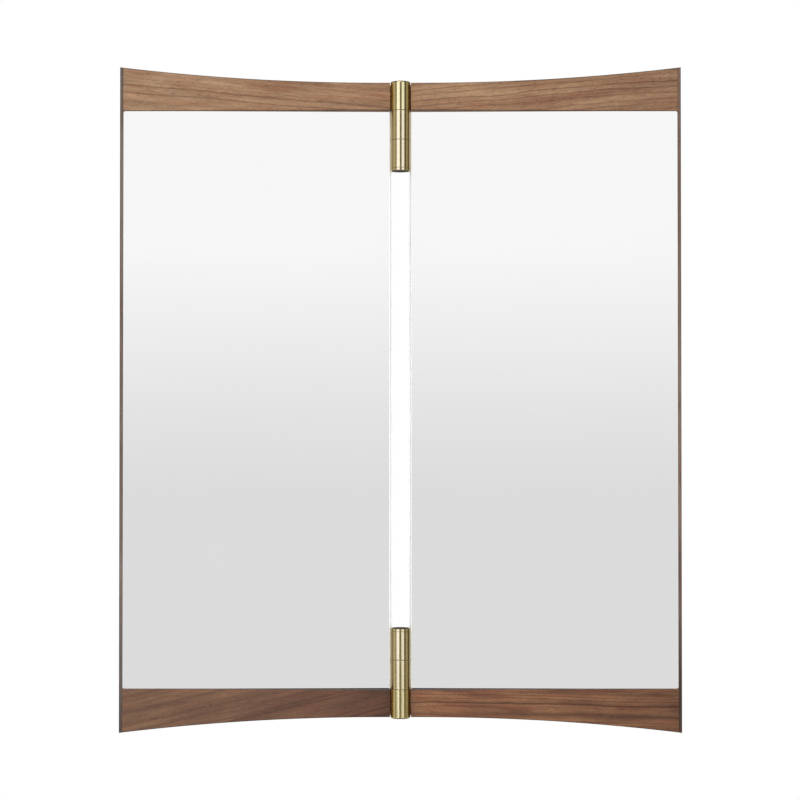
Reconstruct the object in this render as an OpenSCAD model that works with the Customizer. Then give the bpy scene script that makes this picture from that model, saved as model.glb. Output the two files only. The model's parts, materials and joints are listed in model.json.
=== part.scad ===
// Two-wing hinged wall mirror.
// Each wing is a mirror pane in a walnut frame with curved top and bottom edges.
// Two brass barrel hinges, one above and one below, carry both wings on the wall.
// X points to the viewer's right, the front faces -Y, the wall is the plane Y = 0 and Z is up.
// The origin is the middle of the four wall screws. The wings are drawn flat, parallel to the wall.

/* [Wings] */
// Width of one wing, from the hinge ends of its rails to its outer edge
wing_w = 284.5; // [240:0.1:340]
// Height of a wing at its outer edge
wing_h = 700; // [560:1:900]
// How far each curved edge drops from the outer edge to the hinge
edge_rise = 17.6; // [8:0.1:26]
// Width of the outer stile
stile_w = 3.2; // [2.4:0.1:6]
// Radius of the inside corner between rail and stile
corner_r = 1.8; // [1:0.1:4]

/* [Rails] */
// Height of a rail at its hinge end
rail_h = 28.4; // [24:0.2:40]
// How far a rail stands in front of the glass at the hinge
rail_proud_hinge = 8; // [4:0.1:9.4]
// How far a rail stands in front of the glass at the outer edge
rail_proud_outer = 1; // [0.4:0.1:3]
// Width of the rail's lip round the edge of the back board
lip_w = 6; // [4:0.1:8]

/* [Mirror] */
// Thickness of the glass
glass_t = 4; // [3:0.1:5]
// How far the front of the glass lies behind the hinge axis
glass_setback = 1; // [0.4:0.1:2]
// Width of the polished arris along the free edge of the glass
arris = 0.9; // [0.2:0.1:1]
// Thickness of the bonding tape
tape_t = 0.8; // [0.5:0.1:1.2]
// Width of one strip of tape
tape_w = 25; // [12:1:40]
// Number of strips behind one pane
tape_count = 4; // [2:1:5]
// Thickness of the metal sheet that carries the pane
carrier_t = 1.5; // [1:0.1:2.5]
// Thickness of the veneered back board
board_t = 9; // [8:0.1:14]

/* [Hinges] */
// Outer diameter of the hinge barrels
barrel_d = 20.8; // [20:0.1:26]
// How far a barrel stands past the rail's curved edge
barrel_proud = 1.7; // [0.5:0.1:4]
// How far the outer knuckle reaches past the rail's straight edge, on the side of the mirror's middle
knuckle_drop = 0.3; // [0:0.1:3]
// Bevel round the closed end of a barrel
barrel_bevel = 1.1; // [0.3:0.1:1.5]
// Bevel along the seams between the knuckles
seam_bevel = 0.15; // [0.1:0.05:0.5]
// Thickness of the closed end of the outer knuckle
end_wall = 4; // [3:0.1:6]
// Thickness of the end cap
cap_t = 2.8; // [1.5:0.1:4]
// How much shorter the knuckle under the cap is than the other two
cap_room = 0.8; // [0:0.1:2]
// Diameter of the hinge pin
pin_d = 8; // [6:0.1:9]
// Wall of the bush round the pin
bush_wall = 1.2; // [0.8:0.1:1.6]
// Room between a bush and the closed end of its knuckle
bush_gap = 2.4; // [1:0.1:6]
// Thickness of the friction washer between two knuckles
washer_t = 0.4; // [0.3:0.05:1]
// Thickness of the leaf that is let into the back board
leaf_t = 3; // [2:0.1:4]
// Length of the leaf inside the back board
leaf_l = 44; // [36:0.5:60]

/* [Wall plates] */
// Width of a wall plate
plate_w = 56; // [54:0.5:80]
// Thickness of a wall plate
plate_t = 3; // [3:0.1:5]
// Distance between the two screw holes of a plate
hole_span = 40; // [38:0.5:42]
// Diameter of a wall screw hole
hole_d = 5.2; // [4:0.1:5.6]
// Diameter of its countersink
hole_head_d = 9.6; // [8:0.1:10]
// Width of the bracket arm between the wings
arm_w = 8; // [7:0.1:9]
// Width of the arm's foot
foot_w = 14; // [12:0.1:15]
// Thickness of the arm's foot
foot_t = 2.4; // [2:0.1:4]
// Thickness of the channel's lips over the foot
channel_lip = 2.7; // [2:0.1:4]
// Width of the channel block outside
channel_w = 20; // [19:0.1:24]
// Thickness of the stop under the foot
stop_t = 4; // [3:0.1:6]

/* [Fasteners] */
// Diameter of the wood screws
wood_screw_d = 3.5; // [3:0.1:4]
// Head diameter of the wood screws
wood_head_d = 7; // [6:0.1:8]
// How deep the rail screws bite into the rails
rail_bite = 5; // [3:0.1:5.5]
// Screws in one rail
rail_screws = 4; // [2:1:6]
// Diameter of the grub screw that holds the pin
grub_d = 4; // [3:0.1:5]
// Length of the grub screw
grub_l = 6; // [4:0.1:8]
// Diameter of the thread between cap and pin
cap_thread_d = 5; // [3:0.1:5.2]
// Length of the thread between cap and pin
cap_thread_l = 8; // [5:0.5:12]
// Diameter of the screw that locks the foot
lock_d = 3; // [2.5:0.1:3.5]
// Head diameter of the screw that locks the foot
lock_head_d = 5.4; // [5:0.1:6]
// Diameter of the bumpers
bumper_d = 14; // [10:0.5:20]

/* [Clearances] */
// From the barrel to the edges of the wings
barrel_clear = 0.5; // [0.3:0.05:0.8]
// From the glass to the rails and the stile
glass_play = 0.3; // [0.2:0.05:0.6]
// From the back board to the rails' lips and round the leaves
board_play = 0.2; // [0.1:0.05:0.4]
// From the pin to the bushes, on the radius
pin_clear = 0.03; // [0.02:0.01:0.08]
// From a thread or a bush to its hole, on the radius
thread_clear = 0.05; // [0.02:0.01:0.1]
// From the foot to its channel
slide_clear = 0.2; // [0.1:0.05:0.4]
// From the backs of the wings to the channel blocks
wing_clear = 1.2; // [0.8:0.1:3]

/* [Hidden] */

walnut = "#8a6750";
veneer = "#75553f";
brass = "#c8b27c";
steel = "#a9abad";
zinc = "#8f9295";
mirror_grey = "#dfe4e6";
aluminium = "#d2d4d5";
nylon = "#e8e4d8";
foam = "#4c4d4f";
rubber = "#2e2e30";

$fn = 64;
arc_fn = 1440;
cut = 1;

// Widths, measured from the hinge axis
barrel_r = barrel_d / 2;
edge_x = barrel_r + barrel_clear;
outer_x = edge_x + wing_w;
stile_x = outer_x - stile_w;

// Depths behind the hinge axis; in front of it they are negative
carrier_y = glass_setback + glass_t + tape_t;
board_y = carrier_y + carrier_t;
back_y = board_y + board_t;
rail_hinge_y = glass_setback - rail_proud_hinge;
rail_outer_y = glass_setback - rail_proud_outer;
channel_t = channel_lip + foot_t + 2 * slide_clear;
wall_y = back_y + wing_clear + channel_t + plate_t;
foot_back_y = wall_y - plate_t - slide_clear;
foot_front_y = foot_back_y - foot_t;
lock_y = wall_y - plate_t - lock_head_d / 2 - slide_clear;

// The carrier, the board and the rails' lips reach as far behind the barrel as its radius allows
board_x = sqrt(pow(barrel_r + barrel_clear, 2) - pow(carrier_y, 2));

// Heights from the middle of the mirror
hinge_edge_z = wing_h / 2 - edge_rise;
opening_z = hinge_edge_z - rail_h;
edge_r = (wing_w * wing_w + edge_rise * edge_rise) / (2 * edge_rise);
edge_centre_z = hinge_edge_z + edge_r;
function edge_z(x) = edge_centre_z - sqrt(pow(edge_r, 2) - pow(x - edge_x, 2));

// One hinge, from its middle to its knuckles; the middle knuckle belongs to the wall bracket.
// The outer knuckle is as high as the rail beside it, and the other two are as long.
knuckle_l = rail_h + barrel_proud + knuckle_drop;
bush_l = knuckle_l - end_wall - bush_gap;
seam_z = knuckle_l / 2 + washer_t;
hinge_z = hinge_edge_z + barrel_proud - knuckle_l - seam_z;
bush_r = pin_d / 2 + pin_clear + bush_wall;
bush_hole_r = bush_r + thread_clear;
pin_end_gap = 0.5;
pin_l = 3 * knuckle_l - cap_room + 2 * washer_t - end_wall - pin_end_gap;
washer_inset = 0.2;
washer_r = barrel_r - washer_inset;
cap_edge_bevel = 0.3;
pin_bevel = 0.6;

// The leaf starts a little inside its knuckle and ends below the lip of the rail
leaf_inset = 1.2;
leaf_margin = 0.5;
leaf_h = knuckle_l - barrel_proud - lip_w - leaf_inset - 2 * board_play - leaf_margin;
leaf_end_x = board_x + leaf_l;
leaf_corner_r = 3;
leaf_screw_l = leaf_t + board_t / 2;
leaf_screw_edge = 9;
leaf_screw_x = [board_x + leaf_screw_edge, board_x + leaf_l / 2, leaf_end_x - leaf_screw_edge];
leaf_screw_z = [0, leaf_h / 5, -leaf_h / 5];

// The arm and the foot are a little shorter than their knuckle
arm_inset = 1.5;
foot_h = knuckle_l - 2 * arm_inset;
plate_margin = 4;
plate_h = foot_h + 2 * (stop_t + plate_margin);
plate_corner_r = 4;
lock_grip = 7;
lock_head_h = 2.4;

// Rows of screws and bumpers
rail_screw_l = board_t + rail_bite;
rail_screw_margin = 16;
rail_screw_start = leaf_end_x + rail_screw_margin;
rail_screw_end = stile_x - rail_screw_margin;
rail_screw_z = opening_z + (rail_h - lip_w) / 2;
bumper_inset = 28;
bumper_x = stile_x - bumper_inset;
bumper_z = opening_z - bumper_inset;
bumper_h = wall_y - back_y;
bumper_foot = 1.5;

// ---------- Places ----------

module left_side() {
    translate([0, -wall_y, 0])
        children();
}

// A wing is the same assembly on both sides, turned half round on the line of sight
module right_side() {
    translate([0, -wall_y, 0])
        rotate([0, 180, 0])
            children();
}

// Everything on the wall side stands round the middle of its hinge, above or below
module at_hinge(side) {
    translate([0, -wall_y, side * hinge_z])
        children();
}

// Gives a front view, drawn in X and Z, its thickness from front to back
module along_y(from_y, to_y) {
    translate([0, to_y, 0])
        rotate([90, 0, 0])
            linear_extrude(to_y - from_y)
                children();
}

// ---------- Shared shapes ----------

module rounded_plate(w, h, r) {
    square([w - 2 * r, h], center = true);
    square([w, h - 2 * r], center = true);
    for (x = [-1, 1])
        for (z = [-1, 1])
            translate([x * (w / 2 - r), z * (h / 2 - r)])
                circle(r);
}

// Turned cylinder on Z, with its own bevel at each end
module turned(r, l, low_bevel, high_bevel) {
    rotate_extrude()
        polygon([
            [0, 0],
            [r - low_bevel, 0],
            [r, low_bevel],
            [r, l - high_bevel],
            [r - high_bevel, l],
            [0, l]
        ]);
}

// Countersunk screw; its head is flush with Z = 0 and it points down
module countersunk(d, head_d, l) {
    head_h = (head_d - d) / 2;
    rotate_extrude()
        polygon([
            [0, 0],
            [head_d / 2, 0],
            [d / 2, -head_h],
            [d / 2, -l + d / 2],
            [0, -l]
        ]);
}

module cross_recess(size) {
    for (a = [0, 90])
        rotate([0, 0, a])
            cube([size, size / 4, size * 0.7], center = true);
}

module wood_screw(l) {
    difference() {
        countersunk(wood_screw_d, wood_head_d, l);
        cross_recess(wood_head_d / 2);
    }
}

module wood_screw_hole(l) {
    countersunk(wood_screw_d + 2 * thread_clear, wood_head_d + 2 * thread_clear, l + thread_clear);
}

// ---------- Wing, drawn on the left with the hinge axis at X = 0, Y = 0 ----------

// Front view of a wing, cut back from its curved edges by inset
module wing_face(from_x, to_x, inset) {
    difference() {
        translate([-to_x, -wing_h / 2])
            square([to_x - from_x, wing_h]);
        for (side = [-1, 1])
            translate([-edge_x, side * edge_centre_z])
                circle(edge_r + inset, $fn = arc_fn);
    }
}

// The small fillet where a rail meets the stile; its block reaches up into the rail
module corner_fillet() {
    translate([-stile_x, opening_z - corner_r])
        difference() {
            square([corner_r, corner_r + rail_h / 2]);
            translate([corner_r, 0])
                circle(corner_r);
        }
}

module rail_face() {
    intersection() {
        wing_face(board_x, stile_x, 0);
        translate([-outer_x, opening_z])
            square([outer_x, wing_h / 2]);
    }
    corner_fillet();
}

// Plan of the wedge-shaped rails, thick at the hinge and thin at the stile.
// Level with the board they reach behind the barrel, which closes the gap beside it to light.
module rail_plan() {
    polygon([
        [-edge_x, rail_hinge_y],
        [-edge_x, board_y],
        [-board_x, board_y],
        [-board_x, back_y],
        [-stile_x, back_y],
        [-stile_x, rail_outer_y]
    ]);
}

module at_rail_screws(rail_side) {
    step = (rail_screw_end - rail_screw_start) / (rail_screws - 1);
    for (i = [0 : rail_screws - 1])
        translate([-rail_screw_start - i * step, back_y, rail_side * rail_screw_z])
            rotate([-90, 0, 0])
                children();
}

module rail(rail_side) {
    color(walnut)
        difference() {
            mirror([0, 0, rail_side < 0 ? 1 : 0])
                intersection() {
                    along_y(rail_hinge_y, back_y)
                        rail_face();
                    linear_extrude(wing_h / 2)
                        rail_plan();
                }
            along_y(board_y, back_y + cut)
                wing_face(board_x - cut, outer_x, lip_w - board_play);
            at_rail_screws(rail_side)
                wood_screw_hole(rail_screw_l);
        }
}

// The stile's ends are cut straight, flush with the rails' curved edges
module stile() {
    inner_z = edge_z(stile_x);
    outer_z = edge_z(outer_x);
    color(walnut)
        along_y(rail_outer_y, back_y)
            polygon([
                [-outer_x, -outer_z],
                [-outer_x, outer_z],
                [-stile_x, inner_z],
                [-stile_x, -inner_z]
            ]);
}

module back_board() {
    color(veneer)
        difference() {
            along_y(board_y, back_y)
                wing_face(board_x, stile_x, lip_w);
            for (knuckle = [0, 1])
                leaf_room(knuckle);
            at_leaf_screws()
                wood_screw_hole(leaf_screw_l);
            for (rail_side = [-1, 1])
                at_rail_screws(rail_side)
                    wood_screw_hole(rail_screw_l);
        }
}

// Front view of a sheet that fills the opening, from a free edge at from_x to the stile
module pane_face(from_x) {
    top = opening_z - glass_play;
    far_x = stile_x - glass_play;
    r = corner_r + glass_play;
    translate([-far_x + r, -top])
        square([far_x - r - from_x, 2 * top]);
    translate([-far_x, -top + r])
        square([r, 2 * (top - r)]);
    for (side = [-1, 1])
        translate([-far_x + r, side * (top - r)])
            circle(r);
}

module glass() {
    color(mirror_grey)
        intersection() {
            along_y(glass_setback, glass_setback + glass_t)
                pane_face(edge_x);
            translate([0, 0, -wing_h / 2])
                linear_extrude(wing_h)
                    polygon([
                        [-edge_x, glass_setback + arris],
                        [-edge_x, glass_setback + glass_t],
                        [-outer_x, glass_setback + glass_t],
                        [-outer_x, glass_setback],
                        [-edge_x - arris, glass_setback]
                    ]);
        }
}

module carrier() {
    color(aluminium)
        along_y(carrier_y, board_y)
            pane_face(board_x);
}

// Upright strips of tape, spread over the width of the pane
module tape() {
    strip_inset = 12;
    strip_l = 2 * (opening_z - strip_inset);
    step = (stile_x - edge_x - 2 * strip_inset - tape_w) / (tape_count - 1);
    color(foam)
        for (i = [0 : tape_count - 1])
            translate([-edge_x - strip_inset - tape_w - i * step, glass_setback + glass_t, -strip_l / 2])
                cube([tape_w, tape_t, strip_l]);
}

// ---------- Hinge ----------

// A wing's outer knuckle is on its upper hinge and its inner knuckle is on its lower hinge.
// knuckle = 0 is the outer, closed one and knuckle = 1 is the inner one under the cap.
function leaf_z(knuckle) = (knuckle == 0 ? hinge_z : -hinge_z) + seam_z + leaf_inset + leaf_h / 2;

module leaf_room(knuckle) {
    z = leaf_z(knuckle);
    translate([-leaf_end_x - board_play, board_y - cut, z - leaf_h / 2 - board_play])
        cube([leaf_end_x, leaf_t + cut, leaf_h + 2 * board_play]);
}

module leaf(knuckle) {
    flat_x = leaf_end_x - leaf_corner_r;
    translate([0, 0, leaf_z(knuckle)])
        along_y(board_y, board_y + leaf_t) {
            translate([-flat_x, -leaf_h / 2])
                square([flat_x, leaf_h]);
            translate([-leaf_end_x, -leaf_h / 2 + leaf_corner_r])
                square([leaf_end_x / 2, leaf_h - 2 * leaf_corner_r]);
            for (side = [-1, 1])
                translate([-flat_x, side * (leaf_h / 2 - leaf_corner_r)])
                    circle(leaf_corner_r);
        }
}

module at_leaf_screws() {
    for (knuckle = [0, 1])
        for (i = [0 : len(leaf_screw_x) - 1])
            translate([-leaf_screw_x[i], board_y, leaf_z(knuckle) + leaf_screw_z[i]])
                rotate([90, 0, 0])
                    children();
}

module wing_knuckle(knuckle) {
    base_z = (knuckle == 0 ? hinge_z : -hinge_z) + seam_z;
    full_l = knuckle == 0 ? knuckle_l : knuckle_l - cap_room;
    bore_l = knuckle == 0 ? knuckle_l - end_wall : knuckle_l + cut;
    color(brass)
        difference() {
            union() {
                translate([0, 0, base_z])
                    turned(barrel_r, full_l, seam_bevel, knuckle == 0 ? barrel_bevel : seam_bevel);
                leaf(knuckle);
            }
            translate([0, 0, base_z - cut])
                cylinder(r = bush_hole_r, h = bore_l + cut);
            at_leaf_screws()
                wood_screw_hole(leaf_screw_l);
        }
}

module bush(knuckle) {
    base_z = (knuckle == 0 ? hinge_z : -hinge_z) + seam_z;
    color(nylon)
        translate([0, 0, base_z])
            difference() {
                cylinder(r = bush_r, h = bush_l);
                translate([0, 0, -cut])
                    cylinder(r = pin_d / 2 + pin_clear, h = bush_l + 2 * cut);
            }
}

module leaf_screws() {
    color(steel)
        at_leaf_screws()
            wood_screw(leaf_screw_l);
}

module wing_rail_screws() {
    color(steel)
        for (rail_side = [-1, 1])
            at_rail_screws(rail_side)
                wood_screw(rail_screw_l);
}

module bumpers() {
    color(rubber)
        for (side = [-1, 1])
            translate([-bumper_x, back_y, side * bumper_z])
                rotate([-90, 0, 0])
                    turned(bumper_d / 2, bumper_h, 0.3, bumper_foot);
}

// ---------- Wall side of a hinge, drawn round the middle of its bracket knuckle ----------

module bracket() {
    color(brass)
        difference() {
            union() {
                translate([0, 0, -knuckle_l / 2])
                    turned(barrel_r, knuckle_l, seam_bevel, seam_bevel);
                translate([-arm_w / 2, barrel_r / 2, -foot_h / 2])
                    cube([arm_w, foot_back_y - barrel_r / 2, foot_h]);
                translate([-foot_w / 2, foot_front_y, -foot_h / 2])
                    cube([foot_w, foot_t, foot_h]);
            }
            cylinder(r = pin_d / 2 + thread_clear, h = knuckle_l + cut, center = true);
            rotate([-90, 0, 0])
                cylinder(d = grub_d + 2 * thread_clear, h = wall_y);
            translate([0, lock_y, -foot_h / 2 - cut])
                cylinder(d = lock_d + 2 * thread_clear, h = lock_grip + 2 * cut);
        }
}

module grub_screw() {
    key_d = grub_d / 2;
    color(steel)
        translate([0, pin_d / 2, 0])
            rotate([-90, 0, 0])
                difference() {
                    cylinder(d = grub_d, h = grub_l);
                    translate([0, 0, grub_l - key_d])
                        cylinder(d = key_d, h = key_d + cut, $fn = 6);
                }
}

module foot_lock_screw() {
    key_d = lock_head_d / 2;
    head_z = -foot_h / 2 - stop_t - lock_head_h;
    color(steel)
        translate([0, lock_y, head_z])
            difference() {
                union() {
                    cylinder(d = lock_head_d, h = lock_head_h);
                    cylinder(d = lock_d, h = lock_head_h + stop_t + lock_grip);
                }
                translate([0, 0, -cut])
                    cylinder(d = key_d, h = cut + lock_head_h / 2, $fn = 6);
            }
}

module wall_plate() {
    channel_front = wall_y - plate_t - channel_t;
    slot_w = foot_w + 2 * slide_clear;
    neck_w = arm_w + 2 * slide_clear;
    head_h = (hole_head_d - hole_d) / 2;
    color(zinc)
        difference() {
            union() {
                along_y(wall_y - plate_t, wall_y)
                    rounded_plate(plate_w, plate_h, plate_corner_r);
                translate([-channel_w / 2, channel_front, -foot_h / 2 - stop_t])
                    cube([channel_w, channel_t + plate_t / 2, foot_h + stop_t]);
            }
            translate([-slot_w / 2, foot_front_y - slide_clear, -foot_h / 2])
                cube([slot_w, foot_t + 2 * slide_clear, foot_h + cut]);
            translate([-neck_w / 2, channel_front - cut, -foot_h / 2])
                cube([neck_w, channel_t + cut - foot_t / 2, foot_h + cut]);
            translate([0, lock_y, -foot_h / 2 - stop_t - cut])
                cylinder(d = lock_d + 2 * slide_clear, h = stop_t + 2 * cut);
            for (side = [-1, 1])
                translate([side * hole_span / 2, wall_y - plate_t, 0])
                    rotate([-90, 0, 0]) {
                        cylinder(d = hole_d, h = plate_t + cut);
                        cylinder(d1 = hole_head_d, d2 = hole_d, h = head_h);
                    }
        }
}

// The pin stands in all three knuckles and the cap is screwed to its free end.
// side = 1 is the upper hinge; the lower one is the same, turned half round.
module pin_place(side) {
    rotate([0, side > 0 ? 0 : 180, 0])
        translate([0, 0, -seam_z - knuckle_l + cap_room])
            children();
}

module hinge_pin(side) {
    color(steel)
        pin_place(side)
            difference() {
                turned(pin_d / 2, pin_l, pin_bevel / 2, pin_bevel);
                translate([0, 0, -cut])
                    cylinder(r = cap_thread_d / 2 + thread_clear, h = cap_thread_l + 2 * cut);
            }
}

module end_cap(side) {
    color(brass)
        pin_place(side) {
            translate([0, 0, -cap_t])
                turned(barrel_r, cap_t, cap_edge_bevel, seam_bevel);
            translate([0, 0, -cap_t / 2])
                cylinder(d = cap_thread_d, h = cap_t / 2 + cap_thread_l);
        }
}

module washers() {
    hole_r = pin_d / 2 + slide_clear;
    color(brass)
        for (z = [knuckle_l / 2, -seam_z])
            translate([0, 0, z])
                difference() {
                    cylinder(r = washer_r, h = washer_t);
                    translate([0, 0, -cut])
                        cylinder(r = hole_r, h = washer_t + 2 * cut);
                }
}

// ---------- Nodes ----------

module upper_wall_plate() at_hinge(1) wall_plate();
module lower_wall_plate() at_hinge(-1) wall_plate();
module upper_bracket() at_hinge(1) bracket();
module lower_bracket() at_hinge(-1) bracket();
module upper_hinge_pin() at_hinge(1) hinge_pin(1);
module lower_hinge_pin() at_hinge(-1) hinge_pin(-1);
module upper_end_cap() at_hinge(1) end_cap(1);
module lower_end_cap() at_hinge(-1) end_cap(-1);
module upper_washers() at_hinge(1) washers();
module lower_washers() at_hinge(-1) washers();

module pin_grub_screws() {
    for (side = [1, -1])
        at_hinge(side)
            grub_screw();
}

module foot_lock_screws() {
    for (side = [1, -1])
        at_hinge(side)
            foot_lock_screw();
}

module left_glass() left_side() glass();
module left_tape() left_side() tape();
module left_carrier() left_side() carrier();
module left_back_board() left_side() back_board();
module left_top_rail() left_side() rail(1);
module left_bottom_rail() left_side() rail(-1);
module left_stile() left_side() stile();
module left_upper_knuckle() left_side() wing_knuckle(0);
module left_lower_knuckle() left_side() wing_knuckle(1);
module left_upper_bush() left_side() bush(0);
module left_lower_bush() left_side() bush(1);
module left_leaf_screws() left_side() leaf_screws();
module left_rail_screws() left_side() wing_rail_screws();
module left_bumpers() left_side() bumpers();

module right_glass() right_side() glass();
module right_tape() right_side() tape();
module right_carrier() right_side() carrier();
module right_back_board() right_side() back_board();
module right_top_rail() right_side() rail(-1);
module right_bottom_rail() right_side() rail(1);
module right_stile() right_side() stile();
module right_upper_knuckle() right_side() wing_knuckle(1);
module right_lower_knuckle() right_side() wing_knuckle(0);
module right_upper_bush() right_side() bush(1);
module right_lower_bush() right_side() bush(0);
module right_leaf_screws() right_side() leaf_screws();
module right_rail_screws() right_side() wing_rail_screws();
module right_bumpers() right_side() bumpers();

upper_wall_plate();
lower_wall_plate();
upper_bracket();
lower_bracket();
upper_hinge_pin();
lower_hinge_pin();
upper_end_cap();
lower_end_cap();
upper_washers();
lower_washers();
pin_grub_screws();
foot_lock_screws();
left_glass();
left_tape();
left_carrier();
left_back_board();
left_top_rail();
left_bottom_rail();
left_stile();
left_upper_knuckle();
left_lower_knuckle();
left_upper_bush();
left_lower_bush();
left_leaf_screws();
left_rail_screws();
left_bumpers();
right_glass();
right_tape();
right_carrier();
right_back_board();
right_top_rail();
right_bottom_rail();
right_stile();
right_upper_knuckle();
right_lower_knuckle();
right_upper_bush();
right_lower_bush();
right_leaf_screws();
right_rail_screws();
right_bumpers();
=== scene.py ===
# %% [markdown]
# # A wall mirror with two hinged wings
#
# Two mirror panes stand side by side in walnut rails. The rails' outer edges are long shallow arcs, and
# their fronts slope: they stand well in front of the glass at the hinges and almost flush with it at the
# outer stiles. Two brass barrel hinges in the middle carry both wings on the wall.
#
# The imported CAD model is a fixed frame. Everything here is dressed onto it, in metres, in the same place.

import json
import math

import bmesh
import bpy
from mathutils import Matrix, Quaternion, Vector

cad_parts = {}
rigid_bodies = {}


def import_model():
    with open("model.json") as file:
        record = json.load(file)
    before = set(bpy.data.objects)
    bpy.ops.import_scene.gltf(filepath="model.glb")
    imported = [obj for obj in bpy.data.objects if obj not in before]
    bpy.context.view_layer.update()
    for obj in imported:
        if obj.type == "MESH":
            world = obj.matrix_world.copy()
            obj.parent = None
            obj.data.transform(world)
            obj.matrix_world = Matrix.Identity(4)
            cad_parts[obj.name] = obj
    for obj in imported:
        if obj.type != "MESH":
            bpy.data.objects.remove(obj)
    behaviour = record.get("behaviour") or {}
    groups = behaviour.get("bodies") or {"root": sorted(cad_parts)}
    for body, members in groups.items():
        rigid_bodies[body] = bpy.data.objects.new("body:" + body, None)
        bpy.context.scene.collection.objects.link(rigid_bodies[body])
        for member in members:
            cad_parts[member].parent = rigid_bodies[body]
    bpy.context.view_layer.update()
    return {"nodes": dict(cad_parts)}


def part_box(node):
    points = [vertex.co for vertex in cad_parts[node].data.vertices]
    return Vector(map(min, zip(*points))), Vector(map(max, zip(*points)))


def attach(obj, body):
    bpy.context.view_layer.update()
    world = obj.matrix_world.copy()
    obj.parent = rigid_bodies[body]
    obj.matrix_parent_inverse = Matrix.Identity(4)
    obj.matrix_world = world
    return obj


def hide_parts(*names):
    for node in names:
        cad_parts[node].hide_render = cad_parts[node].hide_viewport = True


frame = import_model()

# %% [markdown]
# ## Sizes
#
# The sizes come from the CAD nodes' own boxes wherever a box can tell them, so the dressed pieces follow
# the frame. Only what a box can't show, such as the drop of the arc, is written down, in millimetres.

# %% Sizes from the frame
MM = 0.001
glass_low, glass_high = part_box("left_glass")
stile_low, stile_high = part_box("left_stile")
rail_low, rail_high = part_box("left_top_rail")
board_low, board_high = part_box("left_back_board")
bracket_low, bracket_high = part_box("upper_bracket")

barrel_r = bracket_high.x
axis_y = bracket_low.y + barrel_r
hinge_z = (bracket_low.z + bracket_high.z) / 2
knuckle_l = bracket_high.z - bracket_low.z
washer_t = 0.4 * MM
hinge_end = glass_high.x
lip_end = rail_high.x
stile_face = stile_high.x
lip_h = 5.8 * MM
glass_play = 0.3 * MM
corner_r = 1.8 * MM
opening_z = glass_high.z + glass_play
edge_drop = 17.6 * MM
wing_w = hinge_end - stile_low.x
edge_r = (wing_w ** 2 + edge_drop ** 2) / (2 * edge_drop)
edge_centre_z = stile_high.z - edge_drop + edge_r
print("barrel radius", round(barrel_r / MM, 2), "mm, edge radius", round(edge_r / MM), "mm")


# %% [markdown]
# ## Two small tools for node trees
#
# Every colour is written as an sRGB hex value, as a paint card gives it, and one function turns it into
# the linear values that Blender works in. One more function adds a node, with its settings and its links.
# Inputs go by their name, or by their number where several share a name. A Map Range has its value at 0, the
# range it comes from at 1 and 2 and the range it goes to at 3 and 4. A Mix has its share at 0, two numbers at
# 2 and 3, and two colours at 6 and 7.

# %% Colours and nodes
def linear(hex_colour):
    """An sRGB hex colour as linear red, green, blue and a full alpha."""
    parts = [int(hex_colour[i:i + 2], 16) / 255 for i in (1, 3, 5)]
    return [p / 12.92 if p <= 0.04045 else ((p + 0.055) / 1.055) ** 2.4 for p in parts] + [1.0]


def wire(tree, node, inputs):
    """Sets a node's inputs; another node's output is linked and anything else is a value."""
    for key, value in inputs.items():
        if isinstance(value, bpy.types.NodeSocket):
            tree.links.new(value, node.inputs[key])
        else:
            node.inputs[key].default_value = value


def add(tree, kind, settings, inputs):
    """Adds one node. The setting "stops" fills a colour ramp with (place, brightness or colour) pairs."""
    node = tree.nodes.new(kind)
    for name, value in settings.items():
        if name != "stops":
            setattr(node, name, value)
            continue
        elements = node.color_ramp.elements
        while len(elements) < len(value):
            elements.new(0.5)
        for element, (place, shade) in zip(elements, value):
            element.position = place
            element.color = [shade, shade, shade, 1] if isinstance(shade, (int, float)) else shade
    wire(tree, node, inputs)
    return node


def new_finish(name):
    """A new material, its node tree and its surface shader."""
    finish = bpy.data.materials.new(name)
    finish.use_nodes = True
    return finish, finish.node_tree, finish.node_tree.nodes["Principled BSDF"]


print("a walnut brown in linear light:", [round(v, 3) for v in linear("#8a6750")])


# %% [markdown]
# ## Oiled walnut
#
# Walnut's growth rings show as thin darker lines where each year's slow summer wood ends, its fibres give a
# fine streak along the grain, and its open pores are short dark dashes. Oil leaves it satin, so it has a soft
# gloss and no film.
#
# The pattern is a solid one, cut by the piece as a saw cuts a plank: distance from the tree's heart, bent by
# slow noises, tells the year, so lines run along the faces and turn into arcs on the ends. Each rail is cut
# from another plank, with its own slope of grain and its own few strong years among many faint ones. Real
# pores are 0.2 mm wide and wouldn't show at this distance, so they are drawn 0.8 mm wide.

# %% The noises of a plank
def plank_noises(tree, plank, seed):
    """Noises that are stretched along the grain, by name. Their sizes are in mm: long, deep and wide."""
    sizes = {"figure": (150, 30, 30), "waver": (26, 9, 9), "tone": (80, 8, 8), "blush": (45, 6, 6),
             "fibre": (9, 0.8, 0.8), "pore": (4, 0.8, 0.8)}
    noise = {}
    for part, (long, deep, wide) in sizes.items():
        grain = add(tree, "ShaderNodeMapping", {}, {
            "Vector": plank, "Location": (seed, 2 * seed, 0.5 * seed),
            "Scale": (1 / (long * MM), 1 / (deep * MM), 1 / (wide * MM))})
        noise[part] = add(tree, "ShaderNodeTexNoise", {}, {
            "Vector": grain.outputs[0], "Scale": 1.0, "Detail": 0.0 if part == "pore" else 2.0,
            "Roughness": 0.55}).outputs[0]
    return noise


# %% Growth rings
HEART = (0.0, 0.04, 0.16)


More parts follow.
